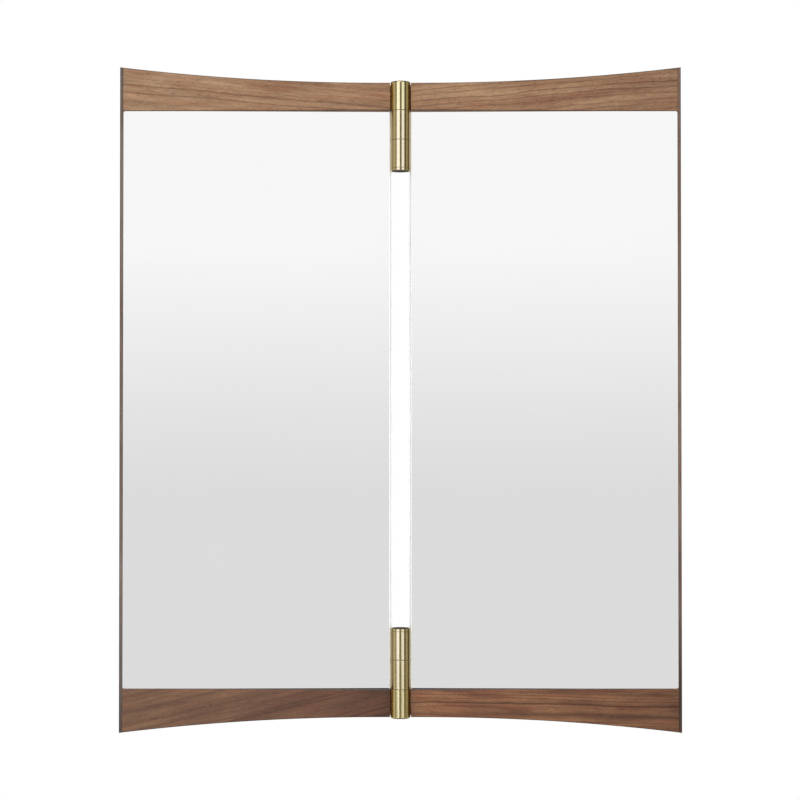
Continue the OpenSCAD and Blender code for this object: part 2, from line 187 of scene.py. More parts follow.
def growth_rings(tree, plank, noise, years, faint):
    """How strongly the dark line of a ring shows, from 0 to 1."""
    # Millimetres above the ring that passes the plank's middle, bent by the two slow noises
    figure_bend, waver_bend = 9.0, 2.0
    across = add(tree, "ShaderNodeVectorMath", {"operation": "MULTIPLY_ADD"}, {
        0: plank, 1: (0, 1, 1), 2: HEART}).outputs[0]
    radius = add(tree, "ShaderNodeVectorMath", {"operation": "LENGTH"}, {0: across}).outputs["Value"]
    height = add(tree, "ShaderNodeMath", {"operation": "MULTIPLY_ADD"}, {
        0: radius, 1: 1 / MM, 2: -Vector(HEART).length / MM}).outputs[0]
    bent = add(tree, "ShaderNodeMath", {"operation": "MULTIPLY_ADD"}, {
        0: noise["figure"], 1: figure_bend, 2: height}).outputs[0]
    level = add(tree, "ShaderNodeMath", {"operation": "MULTIPLY_ADD"}, {
        0: noise["waver"], 1: waver_bend, 2: bent}).outputs[0]

    # The strong years, over a span in millimetres. A noise is a half on average, so the two raise the middle
    span = 80
    raised = (figure_bend + waver_bend) / 2
    over = add(tree, "ShaderNodeMapRange", {}, {
        0: level, 1: raised - span / 2, 2: raised + span / 2}).outputs[0]
    stops = [(0.0, 0.0)]
    for mm, strength, width in years:
        stops += [(0.5 + (mm - 0.7 * width) / span, 0.0), (0.5 + mm / span, strength),
                  (0.5 + (mm + 0.5 * width) / span, 0.0)]
    stops.append((1.0, 0.0))
    strong = add(tree, "ShaderNodeValToRGB", {"stops": stops}, {0: over}).outputs[0]

    # The faint years: evenly spaced, each with a weight of its own
    rings = add(tree, "ShaderNodeMath", {"operation": "DIVIDE"}, {0: level, 1: faint}).outputs[0]
    year = add(tree, "ShaderNodeMath", {"operation": "FLOOR"}, {0: rings}).outputs[0]
    season = add(tree, "ShaderNodeMath", {"operation": "FRACT"}, {0: rings}).outputs[0]
    chance = add(tree, "ShaderNodeTexWhiteNoise", {"noise_dimensions": "1D"}, {"W": year}).outputs[0]
    summer = add(tree, "ShaderNodeValToRGB", {"stops": [
        (0.0, 0.3), (0.08, 0.0), (0.5, 0.0), (0.8, 0.35), (0.92, 1.0), (1.0, 0.7)]}, {
        0: season}).outputs[0]
    weight = add(tree, "ShaderNodeMapRange", {}, {0: chance, 3: 0.05, 4: 0.4}).outputs[0]
    return add(tree, "ShaderNodeMath", {"operation": "MULTIPLY_ADD", "use_clamp": True}, {
        0: summer, 1: weight, 2: strong}).outputs[0]


print("the rings curve round a heart", round(Vector(HEART).length / MM), "mm below each plank's middle")


# %% The colours of the wood
def wood_colour(tree, noise, ring, light, dark, line, blush):
    """A slow change of tone and a warm blush in places, with the ring lines over them."""
    tone = add(tree, "ShaderNodeMapRange", {}, {0: noise["tone"], 1: 0.32, 2: 0.68}).outputs[0]
    body = add(tree, "ShaderNodeMix", {"data_type": "RGBA"}, {
        0: tone, 6: linear(light), 7: linear(dark)}).outputs[2]
    patch = add(tree, "ShaderNodeMapRange", {}, {
        0: noise["blush"], 1: 0.45, 2: 0.7, 4: blush}).outputs[0]
    warm = add(tree, "ShaderNodeMix", {"data_type": "RGBA", "blend_type": "MULTIPLY"}, {
        0: patch, 6: body, 7: linear("#f6cfc2")}).outputs[2]
    return add(tree, "ShaderNodeMix", {"data_type": "RGBA"}, {
        0: ring, 6: warm, 7: linear(line)}).outputs[2]


def tones_along(tree, plank, tones_and_light):
    """The brightness along a plank, halved, because a ramp holds nothing above 1."""
    # The ramp covers so many millimetres to each side of the plank's middle
    reach = 350
    side = add(tree, "ShaderNodeSeparateXYZ", {}, {0: plank}).outputs["X"]
    run = add(tree, "ShaderNodeMapRange", {}, {0: side, 1: -reach * MM, 2: reach * MM}).outputs[0]
    stops = []
    for mm, factor, *hue in tones_and_light:
        green, blue = hue or (1.0, 1.0)
        stops.append((0.5 + mm / (2 * reach), (factor / 2, factor * green / 2, factor * blue / 2, 1.0)))
    return add(tree, "ShaderNodeValToRGB", {"stops": stops}, {0: run}).outputs[0]


# %% The walnut finish
def oiled_walnut(name, light, dark, line, years, slope, middle, seed, faint=4.0, upright=False,
                 shade=1.0, tones_and_light=((-140, 1.0), (140, 1.0)), texture=1.0, blush=0.5):
    """Solid walnut. years lists the strong rings as (mm above the plank's middle, strength, width in mm),
    faint is the spacing of the others in mm, slope the rise of the grain in degrees, tones the brightness
    along the plank as (mm from its middle, factor, and what green and blue are multiplied by where the hue
    shifts too), and texture and blush the strength of the fine grain and the warm patches."""
    finish, tree, shader = new_finish(name)
    place = add(tree, "ShaderNodeTexCoord", {}, {})
    turn = math.radians(90 + slope if upright else slope)
    plank = add(tree, "ShaderNodeMapping", {"vector_type": "TEXTURE"}, {
        "Vector": place.outputs["Object"], "Location": middle, "Rotation": (0, -turn, 0)}).outputs[0]
    noise = plank_noises(tree, plank, seed)
    ring = growth_rings(tree, plank, noise, years, faint)
    lined = wood_colour(tree, noise, ring, light, dark, line, blush)

    # Fibres are fine streaks and pores short dark dashes. Both are doubled, because the tones are halved
    streak = add(tree, "ShaderNodeMapRange", {}, {
        0: noise["fibre"], 1: 0.25, 2: 0.75, 3: 2 * (1 - 0.2 * texture) * shade,
        4: 2 * (1 + 0.2 * texture) * shade}).outputs[0]
    pore = add(tree, "ShaderNodeMapRange", {}, {0: noise["pore"], 1: 0.6, 2: 0.72}).outputs[0]
    dimmed = add(tree, "ShaderNodeMath", {"operation": "MULTIPLY_ADD"}, {
        0: pore, 1: -0.6 * texture * shade, 2: streak}).outputs[0]
    toned = add(tree, "ShaderNodeVectorMath", {"operation": "MULTIPLY"}, {
        0: lined, 1: tones_along(tree, plank, tones_and_light)}).outputs[0]
    colour = add(tree, "ShaderNodeVectorMath", {"operation": "SCALE"}, {
        0: toned, "Scale": dimmed}).outputs[0]

    # Relief: the fibres and pores are a few hundredths of a millimetre deep
    depth = add(tree, "ShaderNodeMath", {"operation": "SUBTRACT"}, {
        0: noise["fibre"], 1: pore}).outputs[0]
    relief = add(tree, "ShaderNodeBump", {}, {
        "Strength": 0.35, "Distance": 0.08 * MM, "Height": depth}).outputs[0]
    gloss = add(tree, "ShaderNodeMapRange", {}, {0: noise["fibre"], 3: 0.42, 4: 0.58}).outputs[0]
    wire(tree, shader, {"Base Color": colour, "Roughness": gloss, "Normal": relief, "IOR": 1.5})
    return finish


# %% [markdown]
# ## One plank for each rail
#
# The four rails differ in colour, in the slope of their lines and in how far apart these are, as if each were
# cut from a plank of its own. Part of their colour is painted light: the bottom rails' darker colours are
# partly painted shade under light from above, the brightness along the rails falls from left to right as
# painted light falloff, and the bottom rails darken beside the barrels as painted shade. So each rail's plank
# is a short table of sizes in millimetres, read from the wood, and the same recipe cuts all of them. A
# picture of wood would be quicker, but it would lie flat on the faces and wouldn't turn the corner at an edge
# or an end.

# %% Walnut for each rail
planks = {
    "left_top": dict(
        light="#d3a982", dark="#b48a67", line="#86573e", slope=-5.8, middle=(-0.15, -0.03, 0.32), seed=3.1,
        tones_and_light=[(-140, 1.03, 1.04, 1.06), (0, 1.01), (140, 0.89, 0.94, 0.9)], faint=3.0, texture=0.85,
        years=[(-16, 0.3, 2), (-7.3, 0.65, 2.2), (-0.7, 0.75, 2.2), (11, 0.25, 2), (17, 0.3, 3)]),
    "right_top": dict(
        light="#cba079", dark="#ad7f5e", line="#7b4f38", slope=5.5, middle=(0.15, -0.03, 0.32), seed=8.3,
        tones_and_light=[(-140, 1.12, 1.03, 1.02), (0, 1.03), (140, 0.87)], blush=0.4, faint=2.6, texture=0.9,
        years=[(-22, 0.4, 2), (-16.2, 0.3, 2), (-11.7, 0.5, 2), (-5.4, 0.4, 2), (-0.4, 0.55, 2),
               (4.3, 0.45, 2), (10.4, 0.35, 2), (14.6, 0.5, 2), (20.5, 0.4, 2)]),
    "left_bottom": dict(
        light="#a0755a", dark="#835e4b", line="#5f4134", slope=12.5, middle=(-0.15, -0.03, -0.32),
        seed=14.2,
        # Towards the hinge end the brightness falls steeply: painted shade beside the lower barrel
        tones_and_light=[(-140, 1.17, 1.06, 1.02), (0, 0.98), (108, 0.83, 0.91, 0.89), (120, 0.69, 0.9, 0.88),
               (133, 0.57, 0.9, 0.87), (139, 0.41, 0.9, 0.84)],
        blush=0.3, faint=5.0, texture=0.7,
        years=[(-38, 0.5, 4), (-31, 0.55, 2), (-9, 0.55, 2), (-6, 0.45, 1.5), (2.5, 0.3, 2), (11, 0.15, 4),
               (23, 0.25, 4)]),
    "right_bottom": dict(
        light="#b8825b", dark="#875942", line="#482c20", slope=-1, middle=(0.15, -0.03, -0.32), seed=21.7,
        # The dip in the last few millimetres at the hinge end is painted shade beside the lower barrel
        tones_and_light=[(-139, 1.02, 1.03, 1.03), (-135, 1.18, 1.03, 1.03), (-129, 1.25, 1.03, 1.03),
               (-95, 1.2, 1.03, 1.03), (0, 1.0), (140, 0.77)],
        texture=0.8, faint=2.8,
        years=[(-17, 0.3, 2), (-10, 0.55, 7), (0.8, 0.8, 2.2), (5, 0.3, 1.5), (8.5, 0.35, 1.5),
               (12.5, 0.45, 2), (15.5, 0.35, 1.5)]),
}
# A darker line along each outer edge is painted shade: each rail gets a second finish, its own wood dimmed by
# this factor
EDGE_SHADE = 0.3
walnut, walnut_painted_shade = {}, {}
for plank, cut in planks.items():
    walnut[plank] = oiled_walnut("walnut_" + plank, **cut)
    walnut_painted_shade[plank] = oiled_walnut("walnut_edge_" + plank, shade=EDGE_SHADE, **cut)
# End grain is sealed but not oiled, so it stays greyer. It shows only in the barrels' reflections. Its pale
# colour is partly painted light for the dim gap beside each barrel, and the sides differ as painted light and
# shade: the left rails' ends lighter, the right rails' ends darker
end_grain_and_painted_light = {}
for side, shade in (("left", 1.1), ("right", 0.62)):
    end_grain_and_painted_light[side] = oiled_walnut(
        f"walnut_{side}_end_grain", light="#cbb09c", dark="#b89c88", line="#8f705b", years=[], slope=0,
        middle=(0.0, 0.0, 0.32), seed=2.2, texture=0.5, shade=shade)
print(len(bpy.data.materials), "walnut finishes for the rails")

# %% Walnut for the stiles and the back
# The stiles are darker where they meet the rails: painted shade, since only their middle gets light from the
# panes beside it
stile_cuts = {
    "left": dict(
        light="#a49388", dark="#87766b",
        tones_and_light=[(-315, 0.58), (-270, 0.74), (-200, 1.03), (290, 1.03), (315, 0.66)]),
    "right": dict(
        light="#a58c78", dark="#886d5c",
        tones_and_light=[(-315, 0.32, 0.85, 0.75), (-270, 0.66), (-200, 1.0), (345, 1.05)]),
}
walnut_stile, walnut_stile_painted_shade = {}, {}
for side, cut in stile_cuts.items():
    cut.update(line="#5a4134", years=[], faint=3.0, slope=1, texture=0.6, middle=(0.3, 0.0, 0.0), seed=5.4,
               upright=True)
    walnut_stile[side] = oiled_walnut(f"walnut_{side}_stile", **cut)
    # The second finish paints shade along the stile's arrises
    walnut_stile_painted_shade[side] = oiled_walnut(f"walnut_{side}_stile_edge", shade=EDGE_SHADE, **cut)
veneer = oiled_walnut(
    "walnut_veneer", light="#8f6f58", dark="#6f5342", line="#4b352b", slope=1, middle=(0.15, 0.0, 0.0),
    seed=9.9, upright=True, faint=9.0,
    years=[(-30, 0.4, 3), (-14, 0.5, 3), (4, 0.4, 2), (9, 0.5, 3), (27, 0.4, 4)])
print(len(bpy.data.materials), "materials so far")

# %% [markdown]
# ## Mirror glass
#
# The pane is 4 mm float glass, silvered on its back. Real glass over a metal sheet would give two
# reflections, a faint one and a strong one, but from the front only the strong one is seen, so the front face
# is a metal with no roughness. The edge is ground flat and polished, and a small ground bevel, the arris,
# runs round the front so that the edge isn't sharp. The arris is finely frosted and catches light from all
# sides as a thin pale line.

# %% Glass finishes
def worked_colour(tree, fineness, detail, light, dark):
    """A noise, stretched the way a surface was worked, and a colour that wanders with it between two.
    fineness is how often the noise repeats in a metre, on each axis."""
    place = add(tree, "ShaderNodeTexCoord", {}, {})
    worked = add(tree, "ShaderNodeMapping", {}, {"Vector": place.outputs["Object"], "Scale": fineness})
    noise = add(tree, "ShaderNodeTexNoise", {}, {
        "Vector": worked.outputs[0], "Scale": 1.0, "Detail": detail}).outputs[0]
    colour = add(tree, "ShaderNodeMix", {"data_type": "RGBA"}, {
        0: noise, 6: linear(light), 7: linear(dark)}).outputs[2]
    return noise, colour


GLASS_FINISHES = {
    # Float glass is never quite even: its tint wanders by a hair over a hand's breadth
    "silvered_mirror": ((9, 9, 9), 1.0, "#f4f4f4", "#f6f6f6", {"Metallic": 1.0, "Roughness": 0.0}),
    # Grit leaves the arris finely frosted, which spreads its shine
    "ground_glass_arris": ((900, 900, 900), 2.0, "#eff1ef", "#ffffff", {"Roughness": 0.35, "IOR": 1.52}),
    # The polishing wheel runs along the edge, so its faint marks are long ones
    "polished_glass_edge": ((900, 900, 30), 2.0, "#b9c6c0", "#d8e0dc", {"Roughness": 0.12, "IOR": 1.52}),
    # Grey paint is rolled on to keep damp from the silver
    "mirror_backing_paint": ((350, 350, 350), 3.0, "#6d757b", "#7d858b", {"Roughness": 0.55, "IOR": 1.5}),
}
glass = []
for name, (fineness, detail, light, dark, surface) in GLASS_FINISHES.items():
    finish, tree, shader = new_finish(name)
    wire(tree, shader, {"Base Color": worked_colour(tree, fineness, detail, light, dark)[1], **surface})
    glass.append(finish)
print("glass finishes:", [finish.name for finish in glass])

# %% [markdown]
# ## Turned brass
#
# The barrels are turned from brass bar and brushed round while they spin. Brushing leaves fine rings, so the
# surface is much rougher along the axis than round it: highlights stay crisp across the barrel and stretch
# along it. An anisotropic metal does that once its tangent points along the axis. The brushed rings are
# 0.1 mm apart on the real one and are drawn 0.6 mm apart, faintly, so that they show at all. Two bars of
# brass are seldom of quite the same colour, so the closed knuckles get a slightly yellower one.

# %% The brass finishes
def turned_brass(name, light, dark):
    """Brass that was turned and brushed round. Its patina wanders between two colours."""
    finish, tree, shader = new_finish(name)
    place = add(tree, "ShaderNodeTexCoord", {}, {})
    rings = add(tree, "ShaderNodeMapping", {}, {
        "Vector": place.outputs["Object"], "Scale": (25, 25, 1 / (0.6 * MM))})
    brushing = add(tree, "ShaderNodeTexNoise", {}, {"Vector": rings.outputs[0], "Scale": 1.0, "Detail": 3.0})
    patina = add(tree, "ShaderNodeTexNoise", {}, {
        "Vector": place.outputs["Object"], "Scale": 60.0, "Detail": 3.0})
    tarnish = add(tree, "ShaderNodeMix", {"data_type": "RGBA"}, {
        0: patina.outputs[0], 6: linear(light), 7: linear(dark)})
    worn = add(tree, "ShaderNodeMapRange", {}, {
        0: brushing.outputs[0], 1: 0.25, 2: 0.75, 3: 0.97, 4: 1.02})
    metal = add(tree, "ShaderNodeVectorMath", {"operation": "SCALE"}, {
        0: tarnish.outputs[2], "Scale": worn.outputs[0]})
    rough = add(tree, "ShaderNodeMapRange", {}, {0: brushing.outputs[0], 3: 0.16, 4: 0.18})
    axis = add(tree, "ShaderNodeCombineXYZ", {}, {"X": 0.01, "Z": 1.0})
    wire(tree, shader, {"Base Color": metal.outputs[0], "Metallic": 1.0, "Roughness": rough.outputs[0],
                        "Anisotropic": 0.8, "Tangent": axis.outputs[0]})
    print(name, len(tree.nodes), "nodes")
    return finish


brass = turned_brass("turned_brushed_brass", "#ead296", "#dcc487")
yellow_brass = turned_brass("turned_brushed_yellow_brass", "#e9d28d", "#dbc47f")


# %% [markdown]
# ## Sheet metal, plastics and rubber
#
# These are mostly hidden: satin aluminium sheet behind the glass, zinc-plated wall plates and screws, nylon
# bushes, dark brass washers, foam tape and rubber bumpers. The washers' dark colour partly paints the shade
# in the seams between the knuckles. Each one is a base colour that a fine noise varies, with the noise
# stretched the way the surface was worked, and a roughness typical of it.

# %% Plain finishes
def plain_finish(name, light, dark, grain, metallic, roughness, relief=0.0):
    """A finish that wanders between two colours; grain gives the pattern's size in mm on each axis, and
    relief its depth in mm."""
    finish, tree, shader = new_finish(name)
    noise, colour = worked_colour(tree, [1 / (g * MM) for g in grain], 3.0, light, dark)
    wander = 0.07
    gloss = add(tree, "ShaderNodeMapRange", {}, {
        0: noise, 3: roughness - wander, 4: roughness + wander}).outputs[0]
    bump = add(tree, "ShaderNodeBump", {}, {
        "Strength": 0.4, "Distance": relief * MM, "Height": noise}).outputs[0]
    wire(tree, shader, {"Base Color": colour, "Metallic": metallic, "Roughness": gloss, "Normal": bump})
    return finish


aluminium = plain_finish("satin_aluminium", "#dcdedf", "#c6c8c9", (0.6, 0.6, 30), 1.0, 0.42, 0.01)
zinc = plain_finish("zinc_plated_sheet", "#a6a9ab", "#82868a", (6, 6, 6), 1.0, 0.4, 0.02)
steel = plain_finish("bright_zinc_screws", "#bcbec0", "#9c9fa2", (1.5, 1.5, 1.5), 1.0, 0.3, 0.01)
nylon = plain_finish("natural_nylon", "#ece8dc", "#dcd7c8", (3, 3, 3), 0.0, 0.45, 0.01)
# The washers are dark so that the seams read as thin dark lines: partly painted shade in the grooves
dark_brass = plain_finish("darkened_brass_washers", "#8f7b50", "#7a683f", (3, 3, 3), 1.0, 0.4, 0.01)
foam = plain_finish("foam_tape", "#58595b", "#3f4042", (0.7, 0.7, 0.7), 0.0, 0.9, 0.15)
rubber = plain_finish("black_rubber", "#343436", "#262628", (0.8, 0.8, 0.8), 0.0, 0.75, 0.05)
print(len(bpy.data.materials), "materials in all, without the floor's")

# %% [markdown]
# ## Pieces that keep their CAD shape
#
# Boards, sheets, plates, pins and bushes are hidden or already have the right shape, with square edges as
# they come from a saw, a press or a lathe. They could be modelled again, but nothing would be gained. So the
# CAD node itself stays in the picture, and only its material slots get a finish.

# %% Finishes for the CAD nodes that stay
STAYING = {
    veneer: ["left_back_board", "right_back_board"],
    aluminium: ["left_carrier", "right_carrier"],
    foam: ["left_tape", "right_tape"],
    zinc: ["upper_wall_plate", "lower_wall_plate"],
    steel: ["upper_hinge_pin", "lower_hinge_pin", "pin_grub_screws", "foot_lock_screws",
            "left_leaf_screws", "right_leaf_screws"],
    nylon: ["left_upper_bush", "left_lower_bush", "right_upper_bush", "right_lower_bush"],
    dark_brass: ["upper_washers", "lower_washers"],
}
for finish, nodes in STAYING.items():
    for node in nodes:
        for slot in frame["nodes"][node].material_slots:
            slot.material = finish
print(sum(len(nodes) for nodes in STAYING.values()), "CAD nodes keep their shape and get a finish")


# %% [markdown]
# ## Making and placing a piece
#
# A wing is one assembly used twice: the right wing is the left one turned half round on the line of sight.
# So each wing piece is made once, on the left, and its mesh is turned for the right. A turn, unlike a
# mirror image, keeps all faces pointing outwards.

# %% Placing pieces
def turned_round(mesh):
    """Turns a left-wing mesh half round on the line of sight, which makes it the right wing's."""
    for vertex in mesh.vertices:
        vertex.co = Vector((-vertex.co.x, vertex.co.y, -vertex.co.z))
    mesh.update()
    return mesh


def place_piece(name, mesh, finishes, body, nodes):
    """Puts a finished mesh into the scene, on its body, in place of the CAD nodes that it stands for."""
    mesh.name = name
    which = [face.material_index for face in mesh.polygons]
    mesh.materials.clear()
    for finish in finishes:
        mesh.materials.append(finish)
    # Emptying the list has set every face to the first finish, so each face gets its own back
    mesh.polygons.foreach_set("material_index", which)
    piece = bpy.data.objects.new(name, mesh)
    bpy.context.scene.collection.objects.link(piece)
    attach(piece, body)
    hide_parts(*nodes)
    print(name, len(mesh.polygons), "faces")
    return piece


# %% [markdown]
# ## Eased arrises
#
# A joiner takes the sharp corners, the arrises, off with sandpaper, because a sharp wooden edge splinters and
# holds no oil. A Bevel modifier does the same. Its width follows a weight on each edge, so that the edges of
# a glued joint are only just broken, and its new faces take a second material, which paints shade along the
# edge. What the modifier makes is then kept as a plain mesh.

# %% From modifier to mesh
def evaluated(source):
    """The mesh that an object's modifiers make. The object itself is removed."""
    depsgraph = bpy.context.evaluated_depsgraph_get()
    mesh = bpy.data.meshes.new_from_object(
        source.evaluated_get(depsgraph), preserve_all_data_layers=True, depsgraph=depsgraph)
    bpy.data.objects.remove(source)
    return mesh


def eased(mesh, width, seam_x=None):
    """Rounds a wooden piece's arrises, as sandpaper does. Rounded faces take the second material, the painted
    edge shade.

    Edges at seam_x are glued to the next piece, so they are only just broken."""
    sharp, broken = math.radians(40), 0.3
    shape = bmesh.new()
    shape.from_mesh(mesh)
    bmesh.ops.recalc_face_normals(shape, faces=shape.faces)
    weight = shape.edges.layers.float.new("bevel_weight_edge")
    for edge in shape.edges:
        if edge.calc_face_angle(0) > sharp:
            at_seam = seam_x is not None and all(abs(v.co.x - seam_x) < 0.01 * MM for v in edge.verts)
            edge[weight] = broken if at_seam else 1.0
    for face in shape.faces:
        face.smooth = True
    shape.to_mesh(mesh)
    shape.free()
    source = bpy.data.objects.new("blank", mesh)
    bpy.context.scene.collection.objects.link(source)
    bevel = source.modifiers.new("eased", "BEVEL")
    bevel.limit_method = "WEIGHT"
    bevel.width = width
    bevel.segments = 3
    bevel.material = 1
    bevel.harden_normals = True
    bevel.use_clamp_overlap = False
    mesh.materials.clear()
    for _ in range(2):
        mesh.materials.append(None)
    return evaluated(source)


# %% [markdown]
# ## The curved rails
#
# A rail is a length of walnut with an L-shaped section: a thick front part above the glass, and a lip
# behind it that closes round the back board. Its outer edge is an arc, its front slopes from the hinge to
# the stile, and its inner edge ends in a tiny fillet at the stile. At the hinge the lip reaches on behind
# the barrel as a short tongue, which closes the gap beside the barrel to light. All of that is a rule in the
# distance along the rail, so Geometry Nodes shape it: a plain blank carries, for each of its points, how far
# along it lies and which face it belongs to, and the tree works out where the rule puts that point.

# %% The blank that the rule shapes
def rail_blank():
    """Rings of six section corners. along runs from 0 at the hinge to 1 at the stile, and is negative on the
    tongue, which starts from the first ring's lip."""
    length, steps = abs(stile_face - hinge_end), 60
    fillet = [1 - corner_r * (1 - math.sin(math.radians(a))) / length for a in (0, 15, 30, 45, 60, 90)]
    along = [fillet[0] * i / steps for i in range(steps)] + fillet
    # (front, rebate, back) and (curved edge, lip, inner edge) shares of each corner of the section
    section = [((1, 0, 0), (0, 0, 1)), ((1, 0, 0), (1, 0, 0)), ((0, 0, 1), (1, 0, 0)),
               ((0, 0, 1), (0, 1, 0)), ((0, 1, 0), (0, 1, 0)), ((0, 1, 0), (0, 0, 1))]
    count = len(section)
    points, faces = [], []
    for i, share in enumerate(along):
        points += [(share, j, 0) for j in range(count)]
        if i:
            ring = (i - 1) * count
            faces += [(ring + j, ring + (j + 1) % count, ring + count + (j + 1) % count, ring + count + j)
                      for j in range(count)]
    faces.append(tuple(range(len(points) - 1, len(points) - count - 1, -1)))
    spots = [(share, *corner) for share in along for corner in section]
    # The tongue: one more point where it leaves the curved edge of the first ring, and the four of its end.
    # The rule moves every point, so where these lie in the blank makes no difference
    top = ((0, 1, 0), (1, 0, 0))
    beyond = (hinge_end - lip_end) / length
    spots += [(0.0, *top)] + [(beyond, *corner) for corner in (top, section[2], section[3], section[4])]
    new = len(points)
    points += [(share, 9, 0) for share, _, _ in spots[new:]]
    faces[1] = (1, new, 2, count + 2, count + 1)
    faces.append((0, 1, new, 4, 5))
    root, end = (new, 2, 3, 4), (new + 1, new + 2, new + 3, new + 4)
    faces += [(root[k], root[(k + 1) % 4], end[(k + 1) % 4], end[k]) for k in range(4)] + [end]
    mesh = bpy.data.meshes.new("rail_blank")
    mesh.from_pydata(points, [], faces)
    values = {
        "along": [share for share, _, _ in spots],
        "depth_share": [v for _, depth, _ in spots for v in depth],
        "height_share": [v for _, _, height in spots for v in height],
    }
    for name, data in values.items():
        kind = "FLOAT" if name == "along" else "FLOAT_VECTOR"
        attribute = mesh.attributes.new(name, kind, "POINT")
        attribute.data.foreach_set("value" if kind == "FLOAT" else "vector", data)
    return mesh


print("rail blank:", len(rail_blank().vertices), "points")

# %% The rule as a node tree
rail_rule = bpy.data.node_groups.new("curved_rail_rule", "GeometryNodeTree")
rail_rule.interface.new_socket("Geometry", in_out="INPUT", socket_type="NodeSocketGeometry")
RAIL_INPUTS = ["Side", "Up", "Hinge end", "Stile end", "Front at hinge", "Front at stile", "Rebate", "Back",
               "Edge radius", "Edge centre", "Lip", "Opening", "Fillet"]
for name in RAIL_INPUTS:
    rail_rule.interface.new_socket(name, in_out="INPUT", socket_type="NodeSocketFloat")
rail_rule.interface.new_socket("Wood", in_out="INPUT", socket_type="NodeSocketMaterial")
rail_rule.interface.new_socket("Geometry", in_out="OUTPUT", socket_type="NodeSocketGeometry")
given = add(rail_rule, "NodeGroupInput", {}, {}).outputs
shares = {}
for name, kind in (("along", "FLOAT"), ("depth_share", "FLOAT_VECTOR"), ("height_share", "FLOAT_VECTOR")):
    shares[name] = add(rail_rule, "GeometryNodeInputNamedAttribute", {"data_type": kind},
                       {"Name": name}).outputs["Attribute"]
front = add(rail_rule, "ShaderNodeMapRange", {}, {
    0: shares["along"], 3: given["Front at hinge"], 4: given["Front at stile"]}).outputs[0]
print("the rail rule has", len(RAIL_INPUTS), "sizes to set")

# %% [markdown]
# ## The sums behind the curve
#
# The heights come from a short sum, written as a table. A name stands for an input or for an earlier line.
# The arc's height is the centre's less the root of radius squared less distance squared, and the fillet
# drops the inner edge by a quarter circle over the last stretch before the stile.

# %% The sums of the rule
known = {name: given[name] for name in RAIL_INPUTS}
known["x"] = add(rail_rule, "ShaderNodeMapRange", {"clamp": False}, {
    0: shares["along"], 3: given["Hinge end"], 4: given["Stile end"]}).outputs[0]
SUMS = [
    ("run", "SUBTRACT", "x", "Hinge end"),
    ("run squared", "MULTIPLY", "run", "run"),
    ("radius squared", "MULTIPLY", "Edge radius", "Edge radius"),
    ("fall squared", "SUBTRACT", "radius squared", "run squared"),
    ("fall", "SQRT", "fall squared", 0.0),
    ("edge", "SUBTRACT", "Edge centre", "fall"),
    ("lip", "SUBTRACT", "edge", "Lip"),
    ("room", "SUBTRACT", "Stile end", "x"),
    ("reach", "SUBTRACT", "Fillet", "room"),
    ("reach kept", "MAXIMUM", "reach", 0.0),
    ("reach squared", "MULTIPLY", "reach kept", "reach kept"),
    ("fillet squared", "MULTIPLY", "Fillet", "Fillet"),
    ("bow squared", "SUBTRACT", "fillet squared", "reach squared"),
    ("bow kept", "MAXIMUM", "bow squared", 0.0),
    ("bow", "SQRT", "bow kept", 0.0),
    ("bowed", "ADD", "Opening", "bow"),
    ("inner", "SUBTRACT", "bowed", "Fillet"),
    ("placed x", "MULTIPLY", "x", "Side"),
]
for name, operation, first, second in SUMS:
    known[name] = add(rail_rule, "ShaderNodeMath", {"operation": operation}, {
        0: known.get(first, first), 1: known.get(second, second)}).outputs[0]
depths = add(rail_rule, "ShaderNodeCombineXYZ", {}, {0: front, 1: given["Rebate"], 2: given["Back"]})
heights = add(rail_rule, "ShaderNodeCombineXYZ", {}, {
    0: known["edge"], 1: known["lip"], 2: known["inner"]})
y = add(rail_rule, "ShaderNodeVectorMath", {"operation": "DOT_PRODUCT"}, {
    0: shares["depth_share"], 1: depths.outputs[0]}).outputs["Value"]
z = add(rail_rule, "ShaderNodeVectorMath", {"operation": "DOT_PRODUCT"}, {
    0: shares["height_share"], 1: heights.outputs[0]}).outputs["Value"]
placed_z = add(rail_rule, "ShaderNodeMath", {"operation": "MULTIPLY"}, {0: z, 1: given["Up"]})
spot = add(rail_rule, "ShaderNodeCombineXYZ", {}, {0: known["placed x"], 1: y, 2: placed_z.outputs[0]})
shaped = add(rail_rule, "GeometryNodeSetPosition", {}, {
    "Geometry": given["Geometry"], "Position": spot.outputs[0]})
real = add(rail_rule, "GeometryNodeRealizeInstances", {}, {"Geometry": shaped.outputs[0]})
wood = add(rail_rule, "GeometryNodeSetMaterial", {}, {
    "Geometry": real.outputs[0], "Material": given["Wood"]})
add(rail_rule, "NodeGroupOutput", {}, {"Geometry": wood.outputs[0]})
print("rail rule:", len(rail_rule.nodes), "nodes")


# %% Running a tree on a mesh
def grown(mesh, tree, values):
    """The plain mesh that a tree makes, with its inputs set by their identifiers before it first runs."""
    source = bpy.data.objects.new("blank", mesh)
    bpy.context.scene.collection.objects.link(source)
    modifier = source.modifiers.new("rule", "NODES")
    modifier.node_group = tree
    for item in tree.interface.items_tree:
        if item.in_out == "INPUT" and item.name in values:
            modifier[item.identifier] = values[item.name]
    return evaluated(source)


